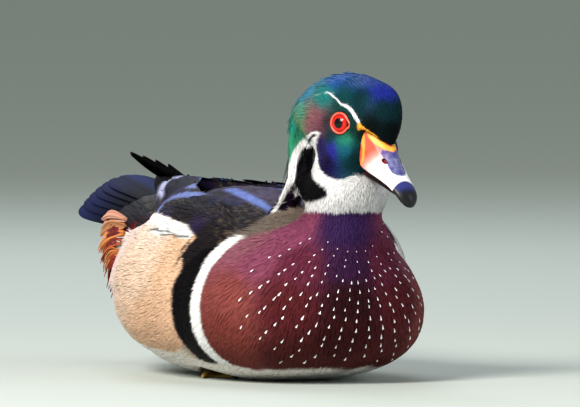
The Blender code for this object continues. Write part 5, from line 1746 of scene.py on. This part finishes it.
# Rings of the eye: share of its radius, and the colour there
EYE_RINGS = (
    (0.0, 0x020202), (PUPIL / EYE_RADIUS - 0.01, 0x020202), (PUPIL / EYE_RADIUS + 0.02, 0xA80C08),
    (0.52, 0xE02214), (0.62, 0xD01810), (0.70, 0x6A0A08), (1.0, 0x200404),
)


def eye_material(name, place):
    """Rings of colour about the line of sight, under a clear wet coat."""
    made, tree, shader = new_material(name, {
        "Roughness": 0.3, "Specular IOR Level": 0.1, "Coat Weight": 0.4, "Coat Roughness": 0.08,
    })
    where = node(tree, "ShaderNodeTexCoord")
    turn = place.to_quaternion().to_euler()
    own = node(tree, "ShaderNodeMapping",
               {"vector_type": "TEXTURE", "Location": place.translation, "Rotation": turn},
               {"Vector": where.outputs["Object"]})
    flat = node(tree, "ShaderNodeVectorMath", {"operation": "MULTIPLY", 1: (1.0, 1.0, 0.0)},
                {0: own.outputs["Vector"]})
    away = node(tree, "ShaderNodeVectorMath", {"operation": "LENGTH"}, {0: flat.outputs["Vector"]})
    share = node(tree, "ShaderNodeMath", {"operation": "DIVIDE", 1: EYE_RADIUS * MM}, {0: away.outputs["Value"]})
    ramp = node(tree, "ShaderNodeValToRGB", {}, {"Fac": share.outputs["Value"]})
    while len(ramp.color_ramp.elements) < len(EYE_RINGS):
        ramp.color_ramp.elements.new(1.0)
    for element, (at, shade) in zip(ramp.color_ramp.elements, EYE_RINGS):
        element.position = at
        element.color = (*linear(shade), 1.0)
    set_node(tree, shader, links={"Base Color": ramp.outputs["Color"]})
    return made


LID_GRAIN = 0.8 * MM
lid_skin, lid_tree, lid_shader = new_material("lid_skin", {"Roughness": 0.35})
lid_grain = node(lid_tree, "ShaderNodeTexNoise", {"Scale": 1 / LID_GRAIN, "Detail": 2.0},
                 {"Vector": node(lid_tree, "ShaderNodeTexCoord").outputs["Object"]})
lid_ramp = node(lid_tree, "ShaderNodeValToRGB", {}, {"Fac": lid_grain.outputs["Fac"]})
lid_ramp.color_ramp.elements[0].color = (*linear(0xE03A22), 1.0)
lid_ramp.color_ramp.elements[1].color = (*linear(0xF8705A), 1.0)
set_node(lid_tree, lid_shader, links={"Base Color": lid_ramp.outputs["Color"]})
for side_name in SIDES:
    eyes[side_name].data.materials.append(eye_material("wet_eye_" + side_name, eye_turns[side_name]))
    lids[side_name].data.materials.append(lid_skin)

# %% [markdown]
# ## Studio
# A pale floor and three broad soft lights, as in a museum's photograph of a specimen. The main light comes from
# the camera's upper left, as the sun does in the photograph.

# %% Floor and lights
LIGHTS_AIM = Vector((0.05, 0.0, 0.07))
floor_mesh = bmesh.new()
bmesh.ops.create_grid(floor_mesh, x_segments=1, y_segments=1, size=12.0)
floor = smooth_object("floor", floor_mesh)
floor_paint, _, _ = new_material("studio_floor_paint", {"Base Color": (*linear(0xBFC6C0), 1.0), "Roughness": 0.8})
floor.data.materials.append(floor_paint)
floor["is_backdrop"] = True

world = bpy.data.worlds.new("studio")
world.use_nodes = True
sky = world.node_tree.nodes["Background"]
set_node(world.node_tree, sky, {"Color": (*linear(0xC0C8C2), 1.0), "Strength": 0.6})
bpy.context.scene.world = world
bpy.context.scene.view_settings.view_transform = "Standard"


def soft_light(name, place, size, power, colour):
    """A square lamp of this size that looks at the bird."""
    lamp = bpy.data.lights.new(name, "AREA")
    lamp.size = size
    lamp.energy = power
    lamp.color = linear(colour)
    made = linked(name, lamp)
    made.location = place
    made.rotation_euler = (LIGHTS_AIM - Vector(place)).to_track_quat("-Z", "Y").to_euler()


soft_light("key", (1.3, -1.5, 1.3), 0.8, 84.0, 0xFFFAF4)
soft_light("fill", (1.6, 1.6, 0.9), 1.6, 18.0, 0xF0F4FF)
soft_light("rim", (-1.6, 0.2, 1.5), 1.0, 16.0, 0xEEF4FF)

# %% Sizes, and the end
low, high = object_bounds()
